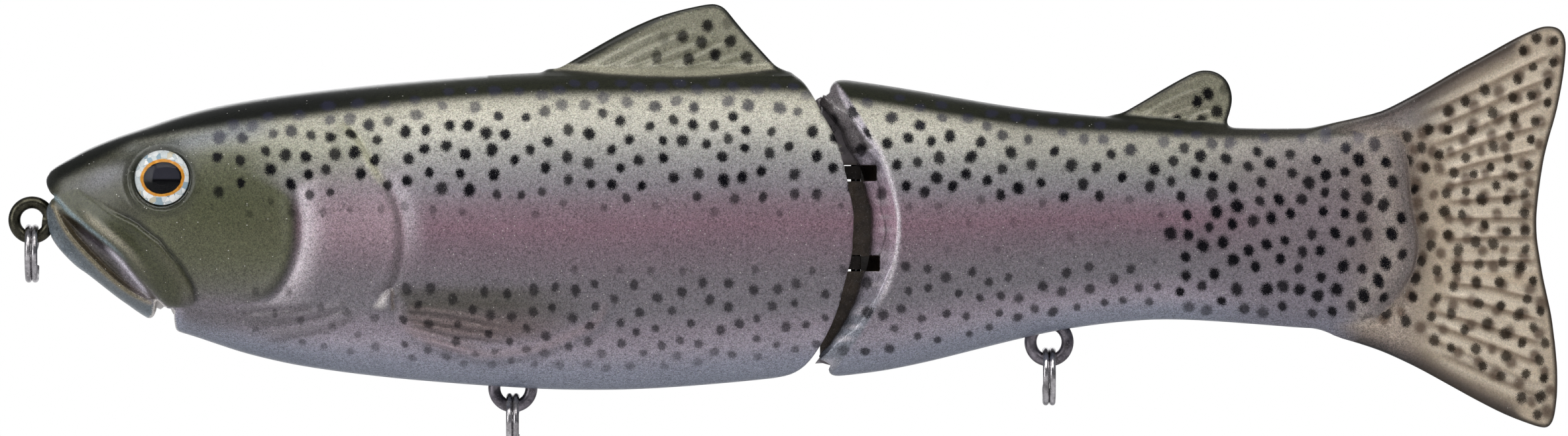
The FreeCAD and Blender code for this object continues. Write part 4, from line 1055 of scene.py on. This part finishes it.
def paint_front(V):
    x, y, z = V.T
    side = y > 0
    tube = front_tube.dist(x, y, z)
    colour = fm.read(front_flank, x, z)
    foot = np.interp(x, [p[0] for p in DORSAL_BASE], [p[1] for p in DORSAL_BASE])
    fin = S((0.5 - fm.read(dorsal_sd, x, z)) / 0.3) * (z > 22.8) * (x > 86) * (x < 122.6) * S((z - foot + 1.2) / 0.6) * S((tube + 0.6) / 0.4)
    colour = over(colour, fm.read(front_fin, x, z), fin)
    g = front_girth.s(x, y, z)
    a, b, c = np.full(len(V), -2.2), np.zeros(len(V)), np.zeros(len(V))
    for k, flag in enumerate((~side, side)):
        rng = np.random.default_rng(71 + k)
        sp = scatter(rng, 29, 135, -36, 34, front_rule)
        m = np.nonzero(flag & (fin < 0.5))[0]
        A, B, D = lay(sp, x[m], g[m], rng)
        a[m], b[m], c[m] = A, B, D
        m = np.nonzero(flag & (fin >= 0.5))[0]
        A, B, D = lay(listed(DORSAL_SPOTS, rng, k), x[m], z[m], rng)
        a[m], b[m], c[m] = A, B, D
    inside = S((-tube - 1.25) / 0.5) * (z < 22.8)
    colour = over(colour, PLASTIC[None].repeat(len(V), 0), inside)
    nd = fm.read(front_out, x, z)
    # near-white on the skin's edges by the throat notch: painted highlight on the edges and the bright background seen
    # through the notch
    notch_light = S((nd + 0.30) / 0.22) * ((x > 19.4) * (x < 22.4) * (z < -12.7) * (z > -17.8) + 0.7 * (x > 23.1) * (x < 24.6) * (z < -14.3) * (z > -18.9))
    colour = over(colour, (226, 220, 214), np.clip(notch_light, 0, 1) * 0.9)
    b = b * (1 - inside)
    crown = S((3.2 - (front_tube.at(x)[0] - z)) / 2.0) * (x < 75) * (1 - inside)
    sheen = np.clip(0.25 + 0.75 * crown + 0.3 * S((30 - x) / 10), 0, 1)
    thin = fin * S((z - 24.5) / 3) * 0.25
    return {"coat_colour": colour, "spot": a, "spot_strength": b, "spot_blue": c, "sheen": sheen, "thin": thin, "under": np.zeros(len(V)), "hidden": inside}


def paint_rear(V):
    x, y, z = V.T
    side = y > 0
    tube = rear_tube.dist(x, y, z)
    colour = rm.read(rear_flank, x, z)
    st = rm.read(step_sd, x, z)
    td = rm.read(tail_sd, x, z)
    tail = S((tube - 0.15) / 0.5) * S((x - 212) / 9) * S((0.6 - td) / 0.3)
    tail = np.maximum(tail, S((st - 0.1) / 0.5) * S((x - 214) / 3))
    adi = S((tube - 0.3) / 0.6) * (x > 174) * (x < 199) * (z > 14)
    colour = over(colour, rm.read(rear_adi, x, z), adi)
    colour = over(colour, rm.read(rear_tail, x, z), tail)
    g = rear_girth.s(x, y, z)
    rim0 = rm.read(rim_sd, x, z)
    n = len(V)
    a, b, c, u = np.full(n, -2.2), np.zeros(n), np.zeros(n), np.zeros(n)
    tails = []
    for k in range(2):
        rng = np.random.default_rng(171 + k)
        tails.append(scatter(rng, 222, 254, -36, 34, tail_rule))
    for k, flag in enumerate((~side, side)):
        rng = np.random.default_rng(91 + k)
        sp = scatter(rng, 131, 228, -34, 32, rear_rule)
        m = np.nonzero(flag & (adi < 0.5) & (tail < 0.5) & (rim0 <= 0.3))[0]
        A, B, D = lay([q for q in sp if clear_of_edges(q)], x[m], g[m], rng)
        a[m], b[m], c[m] = A, B, D
        m = np.nonzero(flag & (rim0 > 0.3))[0]
        A, B, D = lay(listed(CAP_SPOTS, rng, k), x[m], z[m], rng)
        a[m], b[m], c[m] = A, B, D
        m = np.nonzero(flag & (adi >= 0.5) & (tail < 0.5))[0]
        A, B, D = lay(listed(ADI_SPOTS, rng, k), x[m], z[m], rng)
        a[m], b[m], c[m] = A, B, D
        m = np.nonzero(flag & (tail >= 0.5))[0]
        A, B, D = lay(tails[k], x[m], z[m], rng)
        a[m], b[m], c[m] = A, B, D
        A, B, D = lay(tails[1 - k], x[m] - 0.25, z[m] + 0.2, np.random.default_rng(5))
        u[m] = S((A + 0.75) / 1.15)
    # painted shadow of the far side's spots, seen through the thin tail
    colour = over(colour, (92, 74, 62), u * tail * 0.85)
    inside = S((-tube - 1.25) / 0.5) * (x < 208)
    # the shoulder ahead of the rim line, dark under the paint
    rim = rm.read(rim_sd, x, z)
    ahead = S((rim - 0.15) / 0.5)
    inside = inside * (1 - ahead * (cheek(x, y, z, rim) > -0.9))
    tone = over(np.broadcast_to(lin((146, 140, 150)), colour.shape), (178, 142, 158), np.exp(-((z - 0.5) / 5.5) ** 2) * 0.80)
    # a line from the top corner down to the rim, dark ahead of it
    ridge = x - np.interp(z, [-30, 8.6, 11.8, 14.5, 20.0, 23.0], [120, 128.0, 138.6, 136.2, 133.2, 132.2])
    tone = over(tone, (96, 91, 93), S((0.1 - ridge) / 0.5) * S((z - 8.0) / 1.0) * 0.95)
    # painted highlight along the ridge line
    tone = over(tone, (206, 198, 204), np.exp(-((ridge - 0.2) / 0.3) ** 2) * S((z - 9.5) / 1.5) * 0.7)
    tone = over(tone, (116, 122, 132), S((-10.0 - z) / 8.0) * 0.8)
    # painted highlight: glossy streaks across the cap near the rim
    streak = np.sin(z * 2.1 + 1.7 * np.sin(z * 0.7)) * np.exp(-((rim - 2.2) / 1.2) ** 2)
    tone = over(tone, (212, 204, 210), np.clip(streak, 0, 1) * 0.45 * S((10 - z) / 3))
    # painted shade: a thin dark line along the step in the cap
    tone = over(tone, (70, 62, 66), np.exp(-((rim - 2.45 - 0.25 * np.sin(z * 0.8)) / 0.16) ** 2) * 0.7 * S((9 - np.abs(z)) / 3))
    colour = over(colour, tone, ahead * 0.97)
    # painted highlight along the rounded rim
    colour = over(colour, (214, 206, 212), np.exp(-((rim - 0.1) / 0.32) ** 2) * 0.75 * S((15 - np.abs(z)) / 4))
    tipm = (x < 130.6) * (np.abs(y) < 3.0)
    colour = over(colour, (120, 113, 116), tipm * 1.0)
    colour = over(colour, PLASTIC[None].repeat(n, 0), inside)
    b = b * (1 - inside)
    sheen = 0.25 + 0.35 * S((x - 222) / 8) + 0.6 * ahead
    thin = np.clip(tail * S((x - 224) / 6) + 0.3 * adi * S((z - 17) / 3), 0, 1)
    return {"coat_colour": colour, "spot": a, "spot_strength": b, "spot_blue": c, "sheen": sheen, "thin": thin, "under": u * tail, "hidden": inside}


front_girth = Girth(front_tube, 24.0, 137.0)
rear_girth = Girth(rear_tube, 126.0, 230.0)

def swung(V, deg):
    """Points in mm turned about the tail's hinge, which stands at x 135.5."""
    a = math.radians(deg)
    x = V[:, 0] - 135.5
    return np.stack([math.cos(a) * x - math.sin(a) * V[:, 1] + 135.5, math.sin(a) * x + math.cos(a) * V[:, 1], V[:, 2]], 1)


def give_way(V, pick, bodies, deg, room=0.06, reach=1.3):
    """Presses the picked points of a soft skin back to just clear of the bodies it meets at full lock."""
    from mathutils import Vector
    from mathutils.bvhtree import BVHTree
    V = V.copy()
    up = Vector((0.13, 0.31, 0.94)).normalized()
    for W, F in bodies:
        tree = BVHTree.FromPolygons([Vector(v) for v in swung(W, deg)], F)
        for i in pick:
            v = Vector(V[i])
            hit, _, _, d = tree.find_nearest(v, reach)
            if hit is None or d < 1e-6:
                continue
            n, q = 0, v
            while n < 40:
                h = tree.ray_cast(q, up)[0]
                if h is None:
                    break
                n += 1
                q = h + up * 0.001
            if n % 2:
                V[i] = hit + (hit - v) / d * room
            elif d < room:
                V[i] = hit + (v - hit) / d * room
    return V


def cad_body(name):
    o = frame["nodes"][name]
    me = o.data
    W = np.empty(len(me.vertices) * 3)
    me.vertices.foreach_get("co", W)
    M = np.array(o.matrix_world)
    return (W.reshape(-1, 3) @ M[:3, :3].T + M[:3, 3]) / MM, [tuple(f.vertices) for f in me.polygons]


Vf, Qf = build(front_field, 1.6, 136.4, 16.3, -29.2, 36.6, FINE)
Vr, Qr = build(rear_field, 128.4, 253.6, 15.1, -35.6, 33.4, FINE)
coat_f, coat_r = paint_front(Vf), paint_rear(Vr)
Vf, Vr = np.asarray(Vf, float), np.asarray(Vr, float)
cores = [cad_body("front_core_left"), cad_body("front_core_right")]
ahead_r = np.flatnonzero(Vr[:, 0] < 146.0)
for deg in (-28.2, 28.2):
    Vr = give_way(Vr, ahead_r, cores, deg)
rim_f = np.flatnonzero(Vf[:, 0] > 124.0)
for deg in (28.2, -28.2):
    Vf = give_way(Vf, rim_f, [(Vr, [tuple(f) for f in np.asarray(Qr).tolist()])], deg)
for deg in (-28.2, 28.2):
    Vr = give_way(Vr, ahead_r, [(Vf, [tuple(f) for f in np.asarray(Qf).tolist()])], deg, 0.03)
front_skin = skin("painted_front", Vf, Qf, coat_f, "front")
rear_skin = skin("painted_rear", Vr, Qr, coat_r, "rear")
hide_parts("front_skin")
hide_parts("rear_skin")

# =====================================================================
# materials
# =====================================================================


class Mat:
    """A small node-tree builder."""

    def __init__(self, name):
        self.m = bpy.data.materials.new(name)
        self.m.use_nodes = True
        self.t = self.m.node_tree
        self.t.nodes.clear()
        self.out = self.t.nodes.new("ShaderNodeOutputMaterial")
        self.co = self.t.nodes.new("ShaderNodeTexCoord").outputs["Object"]

    def put(self, socket, v):
        if hasattr(v, "is_linked") or hasattr(v, "links"):
            self.t.links.new(v, socket)
        elif isinstance(v, (tuple, list)) and len(v) == 3 and socket.type == "RGBA":
            socket.default_value = (*v, 1)
        else:
            socket.default_value = v

    def node(self, kind, out=0, props=None, **ins):
        n = self.t.nodes.new("ShaderNode" + kind)
        for k, v in (props or {}).items():
            setattr(n, k, v)
        for k, v in ins.items():
            self.put(n.inputs[k.replace("_", " ")], v)
        return n.outputs[out]

    def math(self, op, a, b=None, c=None, clamp=False):
        n = self.t.nodes.new("ShaderNodeMath")
        n.operation = op
        n.use_clamp = clamp
        for i, v in enumerate((a, b, c)):
            if v is not None:
                self.put(n.inputs[i], v)
        return n.outputs[0]

    def mix(self, f, a, b, mode="MIX"):
        n = self.t.nodes.new("ShaderNodeMix")
        n.data_type = "RGBA"
        n.blend_type = mode
        n.clamp_factor = True
        self.put(n.inputs[0], f)
        self.put(n.inputs[6], a)
        self.put(n.inputs[7], b)
        return n.outputs[2]

    def remap(self, v, a, b, c=0.0, d=1.0, smooth=False):
        n = self.t.nodes.new("ShaderNodeMapRange")
        n.interpolation_type = "SMOOTHSTEP" if smooth else "LINEAR"
        for i, q in enumerate((v, a, b, c, d)):
            self.put(n.inputs[i], q)
        return n.outputs[0]

    def attr(self, name, out="Fac"):
        n = self.t.nodes.new("ShaderNodeAttribute")
        n.attribute_name = name
        return n.outputs[out]

    def noise(self, scale, detail=3.0, rough=0.55, out="Fac", vec=None):
        n = self.t.nodes.new("ShaderNodeTexNoise")
        self.put(n.inputs["Vector"], vec if vec is not None else self.co)
        n.inputs["Scale"].default_value = scale
        n.inputs["Detail"].default_value = detail
        n.inputs["Roughness"].default_value = rough
        return n.outputs[out]

    def cells(self, scale, feature="F1", out="Distance", vec=None):
        n = self.t.nodes.new("ShaderNodeTexVoronoi")
        n.feature = feature
        self.put(n.inputs["Vector"], vec if vec is not None else self.co)
        n.inputs["Scale"].default_value = scale
        return n.outputs[out]

    def bump(self, height, strength, dist, prev=None):
        n = self.t.nodes.new("ShaderNodeBump")
        n.inputs["Strength"].default_value = strength
        n.inputs["Distance"].default_value = dist
        self.put(n.inputs["Height"], height)
        if prev is not None:
            self.put(n.inputs["Normal"], prev)
        return n.outputs[0]

    def end(self, shader):
        self.t.links.new(shader, self.out.inputs["Surface"])
        return self.m

    def principled(self, **ins):
        return self.node("BsdfPrincipled", **ins)


def rgb(r, g, b):
    return tuple(float(v) for v in lin((r, g, b)))


def make_skin():
    m = Mat("painted_skin")
    col = m.attr("coat_colour", "Color")
    hid = m.attr("hidden")
    # pearl grain and flakes in the paint
    grain = m.noise(4600, 2.0, 0.6)
    grain2 = m.noise(1900, 2.0, 0.6)
    k = m.math("ADD", m.remap(grain, 0.3, 0.7, -0.50, 0.50), m.remap(grain2, 0.3, 0.7, -0.20, 0.20))
    broad = m.remap(m.noise(120, 3.0, 0.5), 0.3, 0.7, -0.05, 0.05)
    k = m.math("ADD", m.math("MULTIPLY", k, m.remap(m.attr("thin"), 0, 1, 1.0, 0.45)), broad)
    col = m.mix(1.0, col, m.node("CombineColor", Red=m.math("ADD", k, 1.0), Green=m.math("ADD", k, 1.0), Blue=m.math("ADD", k, 1.0)), "MULTIPLY")
    tint = m.noise(2600, 1.0, 0.5, "Color")
    col = m.mix(0.06, col, tint, "OVERLAY")
    fl = m.cells(2600, "F1", "Color")
    flake = m.math("GREATER_THAN", m.node("SeparateColor", Color=fl), 0.975)
    dot = m.math("LESS_THAN", m.cells(2600), 0.24)
    flake = m.math("MULTIPLY", flake, dot)
    col = m.mix(m.math("MULTIPLY", flake, 0.50), col, rgb(222, 220, 214))
    # spots with a stippled edge
    d = m.attr("spot")
    edge = m.math("ADD", d, m.remap(m.noise(7600, 2.0, 0.7), 0.3, 0.7, -0.46, 0.46))
    edge = m.math("ADD", edge, m.remap(m.noise(900, 1.0, 0.5), 0.3, 0.7, -0.10, 0.10))
    core_ = m.remap(edge, -0.12, 0.10, 0.0, 1.0, True)
    halo = m.math("MULTIPLY", m.remap(d, -0.5, 0.5, 0.0, 1.0, True), 0.34)
    stip = m.math("MULTIPLY", m.math("GREATER_THAN", m.noise(8800, 1.0, 0.5), 0.56), m.remap(d, -0.60, -0.05, 0.0, 0.7))
    amt = m.math("MAXIMUM", core_, m.math("MAXIMUM", halo, stip))
    amt = m.math("MULTIPLY", amt, m.attr("spot_strength"), clamp=True)
    # worn-through specks in the fainter spots
    amt = m.math("MULTIPLY", amt, m.remap(m.noise(7200, 2.0, 0.7), 0.58, 0.70, 1.0, 0.66))
    scol = m.mix(m.attr("spot_blue"), rgb(4, 4, 9), rgb(52, 52, 76))
    col = m.mix(amt, col, scol)
    rough = m.math("ADD", m.remap(m.attr("sheen"), 0, 1, 0.42, 0.20), m.remap(m.noise(900, 4.0, 0.6), 0.3, 0.7, -0.05, 0.07))
    rough = m.math("ADD", rough, m.math("MULTIPLY", hid, 0.15))
    n = m.bump(m.noise(3800, 3.0, 0.65), 0.30, 0.00006)
    n = m.bump(m.noise(420, 2.0, 0.5), 0.20, 0.00012, n)
    n = m.bump(amt, 0.12, 0.00004, n)
    # rub marks: scattered patches of rougher paint
    scuff = m.noise(260, 5.0, 0.75)
    scuff = m.remap(scuff, 0.66, 0.74, 0.0, 0.35)
    rough = m.math("ADD", rough, m.math("MULTIPLY", scuff, 0.4))
    b = m.principled(Base_Color=col, Roughness=rough, Metallic=0.12, Specular_IOR_Level=m.remap(amt, 0, 1, 0.45, 0.08), Normal=n, Coat_Weight=m.math("MULTIPLY", m.remap(m.attr("sheen"), 0, 1, 0.06, 0.40), m.remap(amt, 0, 1, 1.0, 0.25)), Coat_Roughness=0.18, IOR=1.40)
    tr = m.node("BsdfTranslucent", Color=m.mix(0.25, col, rgb(255, 240, 215)), Normal=n)
    mx = m.node("MixShader")
    node = mx.node
    m.put(node.inputs[0], m.math("MULTIPLY", m.attr("thin"), 0.42))
    m.put(node.inputs[1], b)
    m.put(node.inputs[2], tr)
    return m.end(mx)


def make_core(name="core", upper=(150, 142, 146), lower=(80, 68, 57)):
    m = Mat(name)
    sep = m.node("SeparateXYZ", Vector=m.co).node
    n1 = m.noise(700, 4.0, 0.6)
    # painted shade and light in the joint: the default upper colour, taken above about 9 to 10 mm, is lighter than the
    # grey paint it stands for, painted light to offset the deep shade there; the brown lower colour is partly painted
    # shade of the gap
    high = m.remap(sep.outputs[2], 0.0085, 0.0105, 0.0, 1.0, True)
    base = m.mix(high, rgb(*lower), rgb(*upper))
    dim = m.mix(high, rgb(*(v * 0.62 for v in lower)), rgb(*(v * 0.70 for v in upper)))
    col = m.mix(m.remap(n1, 0.3, 0.7), dim, base)
    sp = m.cells(225)
    k = m.math("ADD", sp, m.remap(m.noise(4200, 2.0, 0.7), 0.3, 0.7, -0.10, 0.10))
    spot = m.math("MULTIPLY", m.remap(k, 0.29, 0.22, 0.0, 1.0), m.math("GREATER_THAN", m.node("SeparateColor", Color=m.cells(225, "F1", "Color")), 0.35))
    col = m.mix(m.math("MULTIPLY", spot, m.remap(high, 0, 1, 0.45, 0.85)), col, rgb(16, 16, 19))
    col = m.mix(m.math("MULTIPLY", m.math("GREATER_THAN", m.noise(5200, 1, 0.5), 0.64), 0.35), col, rgb(130, 122, 122))
    if name == "core":
        # paint carried onto the tips, and the shadowed slots of the links
        tip = m.math("MAXIMUM", m.remap(sep.outputs[2], -0.0212, -0.0222, 0.0, 1.0), m.remap(sep.outputs[2], 0.0176, 0.0186, 0.0, 1.0))
        col = m.mix(m.math("MULTIPLY", tip, 0.9), col, rgb(128, 122, 128))
        near = m.math("LESS_THAN", sep.outputs[0], 0.1394)
        for lz in (7.75, -7.12):
            bar = m.math("LESS_THAN", m.math("ABSOLUTE", m.math("SUBTRACT", sep.outputs[2], lz * MM)), 1.16 * MM)
            col = m.mix(m.math("MULTIPLY", m.math("MULTIPLY", bar, near), 0.92), col, rgb(26, 22, 19))
    else:
        # near-white where the throat notch shows the moulding: painted light standing in for the bright background seen
        # through the notch
        notch_light = m.math("MULTIPLY", m.math("LESS_THAN", sep.outputs[0], 0.0245), m.math("LESS_THAN", sep.outputs[2], -0.0122))
        col = m.mix(m.math("MULTIPLY", notch_light, 0.92), col, rgb(206, 202, 200))
    n = m.bump(m.noise(520, 4.0, 0.65), 0.6, 0.00028)
    n = m.bump(m.noise(4200, 2.0, 0.6), 0.25, 0.00006, n)
    b = m.principled(Base_Color=col, Roughness=m.remap(m.noise(600, 4, 0.6), 0.3, 0.7, 0.20, 0.45), Normal=n, Specular_IOR_Level=0.35, Coat_Weight=0.1, Coat_Roughness=0.15)
    return m.end(b)


def make_metal(name, dark, light, base_rough, grime, scale=1.0, grain=2600):
    m = Mat(name)
    n1 = m.noise(600 * scale, 4.0, 0.65)
    col = m.mix(m.remap(n1, 0.32, 0.68), dark, light)
    g = m.remap(m.noise(260 * scale, 5.0, 0.7), 0.50, 0.68)
    col = m.mix(m.math("MULTIPLY", g, 0.65), col, grime)
    speck = m.math("GREATER_THAN", m.noise(3600, 2.0, 0.6), 0.66)
    col = m.mix(m.math("MULTIPLY", speck, 0.4), col, tuple(min(1, v * 1.6 + 0.05) for v in light))
    n = m.bump(m.noise(grain, 4.0, 0.7), 0.30, 0.00004)
    n = m.bump(m.noise(500, 3.0, 0.6), 0.25, 0.00010, n)
    r = m.math("ADD", m.remap(m.noise(900, 4.0, 0.6), 0.3, 0.7, base_rough - 0.07, base_rough + 0.10), m.math("MULTIPLY", g, 0.22))
    return m.end(m.principled(Base_Color=col, Metallic=m.remap(g, 0, 1, 1.0, 0.55), Roughness=r, Normal=n))


def make_link():
    m = Mat("link")
    n1 = m.noise(900, 4.0, 0.65)
    col = m.mix(m.remap(n1, 0.3, 0.7), rgb(20, 16, 14), rgb(46, 40, 36))
    sp = m.math("GREATER_THAN", m.noise(3800, 2.0, 0.6), 0.66)
    col = m.mix(m.math("MULTIPLY", sp, 0.5), col, rgb(150, 142, 138))
    n = m.bump(m.noise(1500, 4.0, 0.7), 0.4, 0.0001)
    return m.end(m.principled(Base_Color=col, Roughness=m.remap(n1, 0.3, 0.7, 0.28, 0.5), Normal=n, Specular_IOR_Level=0.22))


def make_foil():
    """Pressed foil: a silver ring of bright flakes, a gold line, a black pupil greyed in its upper part by a painted
    reflection, centred on the eye in side view.
    """
    m = Mat("eye_foil")
    sep = m.node("SeparateXYZ", Vector=m.co)
    n_ = sep.node
    u = m.math("MULTIPLY", m.math("SUBTRACT", n_.outputs[0], EYE[0] * MM), 1000.0)
    v = m.math("MULTIPLY", m.math("SUBTRACT", n_.outputs[2], EYE[1] * MM), 1000.0)

    def ell(a, b, tilt, cx=0.0, cz=0.0):
        c, s = math.cos(tilt), math.sin(tilt)
        uu, vv = m.math("SUBTRACT", u, cx), m.math("SUBTRACT", v, cz)
        p = m.math("ADD", m.math("MULTIPLY", uu, c / a), m.math("MULTIPLY", vv, s / a))
        q = m.math("ADD", m.math("MULTIPLY", uu, -s / b), m.math("MULTIPLY", vv, c / b))
        return m.math("SQRT", m.math("ADD", m.math("MULTIPLY", p, p), m.math("MULTIPLY", q, q)))

    e1 = ell(3.66, 3.08, 0.12)
    e2 = ell(3.15, 2.62, 0.14)
    wob = m.remap(m.noise(1800, 2, 0.6), 0.3, 0.7, -0.02, 0.02)
    fl = m.cells(1150, "F1", "Color")
    fs = m.node("SeparateColor", Color=fl)
    f0, f1 = fs.node.outputs[0], fs.node.outputs[1]
    silver = m.mix(m.remap(f0, 0.0, 1.0), rgb(208, 220, 223), rgb(255, 255, 253))
    silver = m.mix(m.math("MULTIPLY", m.math("GREATER_THAN", f1, 0.86), 0.75), silver, rgb(122, 160, 180))
    silver = m.mix(m.math("MULTIPLY", m.math("LESS_THAN", f1, 0.10), 0.6), silver, rgb(214, 196, 150))
    crease = m.remap(m.cells(1150, "DISTANCE_TO_EDGE"), 0.0, 0.05, 0.35, 0.0)
    silver = m.mix(crease, silver, rgb(120, 132, 142))
    gold = m.mix(m.remap(m.noise(1500, 3, 0.6), 0.3, 0.7), rgb(206, 128, 22), rgb(240, 172, 60))
    inner = m.remap(m.math("ADD", e1, wob), 0.985, 1.015, 1.0, 0.0)
    pup = m.remap(m.math("ADD", e2, wob), 0.985, 1.02, 1.0, 0.0)
    # painted reflection: the pupil greyer in its upper part
    up = m.remap(v, -0.35, 0.0, 0.0, 1.0, True)
    dome_ = m.remap(e2, 0.86, 0.97, 1.0, 0.0, True)
    black = m.mix(m.math("MULTIPLY", m.math("MULTIPLY", up, dome_), 0.9), rgb(3, 3, 5), rgb(46, 46, 54))
    col = m.mix(inner, silver, gold)
    col = m.mix(pup, col, black)
    n = m.bump(f0, 0.5, 0.00008)
    n = m.bump(m.noise(2600, 3, 0.6), 0.15, 0.00003, n)
    met = m.remap(inner, 0, 1, 0.25, 0.20)
    met = m.math("MULTIPLY", met, m.math("SUBTRACT", 1.0, pup))
    rough = m.mix(pup, m.node("CombineColor", Red=m.remap(f0, 0, 1, 0.22, 0.42)), (0.06, 0.06, 0.06))
    spec = m.math("MULTIPLY", m.math("SUBTRACT", 1.0, pup), 0.5)
    return m.end(m.principled(Base_Color=col, Metallic=met, Roughness=m.node("SeparateColor", Color=rough), Normal=n, Specular_IOR_Level=spec))


def make_clear():
    m = Mat("eye_clear")
    n = m.bump(m.noise(700, 2.0, 0.5), 0.04, 0.00005)
    tint = m.mix(m.remap(m.noise(1500, 3, 0.6), 0.35, 0.65), (0.985, 0.99, 0.99), (1.0, 1.0, 1.0))
    t = m.node("BsdfTransparent", Color=tint)
    g = m.node("BsdfGlossy", Color=(1.0, 1.0, 1.0), Roughness=m.remap(m.noise(1200, 3, 0.6), 0.3, 0.7, 0.02, 0.08), Normal=n)
    f = m.node("Fresnel", IOR=1.36, Normal=n)
    mx = m.node("MixShader")
    m.put(mx.node.inputs[0], m.math("MULTIPLY", f, 0.45))
    m.put(mx.node.inputs[1], t)
    m.put(mx.node.inputs[2], g)
    return m.end(mx)


SKIN = make_skin()
LOOKS = {
    "painted_skin": SKIN,
    "core": make_core(),
    # the front core's dark browns are partly painted shade of the joint's gap
    "core_front": make_core("core_front", (58, 54, 50), (50, 44, 38)),
    "link": make_link(),
    "wire": make_metal("wire", rgb(74, 70, 76), rgb(150, 144, 152), 0.34, rgb(46, 42, 36)),
    "ring": make_metal("ring", rgb(132, 129, 132), rgb(206, 203, 206), 0.14, rgb(70, 66, 64)),
    "pin": make_metal("pin", rgb(96, 94, 96), rgb(168, 166, 168), 0.30, rgb(60, 56, 50)),
    "ballast": make_metal("ballast", rgb(70, 72, 78), rgb(120, 122, 128), 0.5, rgb(52, 52, 54)),
    "eye_foil": make_foil(),
    "eye_clear": make_clear(),
}
for ob in (front_skin, rear_skin):
    ob.data.materials.append(SKIN)
rec = json.loads(json.dumps(frame["record"]))
NODE_SLOT = {
    "front_core_left": "core_front", "front_core_right": "core_front", "rear_core_left": "core", "rear_core_right": "core",
    "line_tie_wire": "wire", "belly_hanger": "wire", "rear_hanger": "wire",
    "nose_split_ring": "ring", "belly_split_ring": "ring", "rear_split_ring": "ring",
    "left_eye_foil": "eye_foil", "right_eye_foil": "eye_foil", "left_eye_dome": "eye_clear", "right_eye_dome": "eye_clear",
    "head_ballast": "ballast", "belly_ballast": "ballast", "rear_ballast": "ballast",
    "upper_link_plate": "link", "lower_link_plate": "link", "link_anchor_pin": "pin", "hinge_pin": "pin", "hinge_pin_plug": "pin",
}
for node, key in NODE_SLOT.items():
    o = frame["nodes"][node]
    for i in range(max(1, len(o.material_slots))):
        if i < len(o.material_slots):
            o.material_slots[i].link = "DATA"
            o.material_slots[i].material = LOOKS[key]
        else:
            o.data.materials.append(LOOKS[key])
line_tie = make_metal("line_tie_metal", rgb(40, 39, 32), rgb(82, 80, 68), 0.30, rgb(26, 26, 22))
for s_ in frame["nodes"]["line_tie_wire"].material_slots:
    s_.material = line_tie

# =====================================================================
# stage, lights, camera
# =====================================================================
bpy.ops.mesh.primitive_plane_add(size=1, location=(0.125, -2.40, -0.052))
floor = bpy.context.object
floor.name = "floor"
floor.scale = (10.0, 7.0, 1)
fm_ = Mat("floor")
fcol = fm_.mix(fm_.remap(fm_.noise(30, 3, 0.5), 0.3, 0.7), rgb(236, 236, 238), rgb(243, 243, 244))
floor.data.materials.append(fm_.end(fm_.principled(Base_Color=fcol, Roughness=0.7, Normal=fm_.bump(fm_.noise(900, 3, 0.5), 0.05, 0.0001))))
floor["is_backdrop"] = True

world = bpy.data.worlds.new("studio")
bpy.context.scene.world = world
world.use_nodes = True
wt = world.node_tree
wt.nodes.clear()
wo = wt.nodes.new("ShaderNodeOutputWorld")
wb = wt.nodes.new("ShaderNodeBackground")
wc = wt.nodes.new("ShaderNodeBackground")
wm = wt.nodes.new("ShaderNodeMixShader")
lp = wt.nodes.new("ShaderNodeLightPath")
wb.inputs[0].default_value = (0.93, 0.95, 1.0, 1)
wb.inputs[1].default_value = 0.21
wc.inputs[0].default_value = (1, 1, 1, 1)
wc.inputs[1].default_value = 1.0
wt.links.new(lp.outputs["Is Camera Ray"], wm.inputs[0])
wt.links.new(wb.outputs[0], wm.inputs[1])
wt.links.new(wc.outputs[0], wm.inputs[2])
wt.links.new(wm.outputs[0], wo.inputs[0])


def area(name, where, look, size, power, colour=(1, 1, 1)):
    from mathutils import Vector
    L = bpy.data.lights.new(name, "AREA")
    L.shape = "RECTANGLE"
    L.size, L.size_y = size
    L.energy = power
    L.color = colour
    o = bpy.data.objects.new(name, L)
    bpy.context.scene.collection.objects.link(o)
    o.location = where
    o.rotation_euler = (Vector(look) - Vector(where)).to_track_quat("-Z", "Y").to_euler()
    o.visible_camera = False
    return o


area("top_box", (0.09, -0.44, 0.56), (0.12, 0, 0), (0.9, 0.45), 3.9, (1.0, 0.99, 0.97))
area("nose_box", (-0.55, -0.42, 0.22), (0.06, 0, 0), (0.35, 0.5), 2.0)
low = area("front_low", (0.30, -0.75, -0.02), (0.13, 0, 0), (0.8, 0.12), 1.0, (0.95, 0.95, 1.0))
low.visible_glossy = False
area("back_box", (0.17, 0.60, 0.25), (0.15, 0, 0), (0.9, 0.4), 1.3)

cam_data = bpy.data.cameras.new("camera")
cam = bpy.data.objects.new("camera", cam_data)
bpy.context.scene.collection.objects.link(cam)
cam_data.lens = 400
cam_data.sensor_width = 36
cam_data.clip_start = 0.01
cam.location = (0.1237, -2.866, 0.00033)
cam.rotation_euler = (math.pi / 2, 0, 0)
bpy.context.scene.camera = cam
bpy.context.scene.view_settings.view_transform = "Standard"

sizes = {"cad": cad_box, "visual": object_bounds()}


def plain(v):
    if isinstance(v, dict):
        return {k: plain(q) for k, q in v.items()}
    if isinstance(v, (int, float)):
        return float(v)
    return [plain(q) for q in v]


plain(sizes)
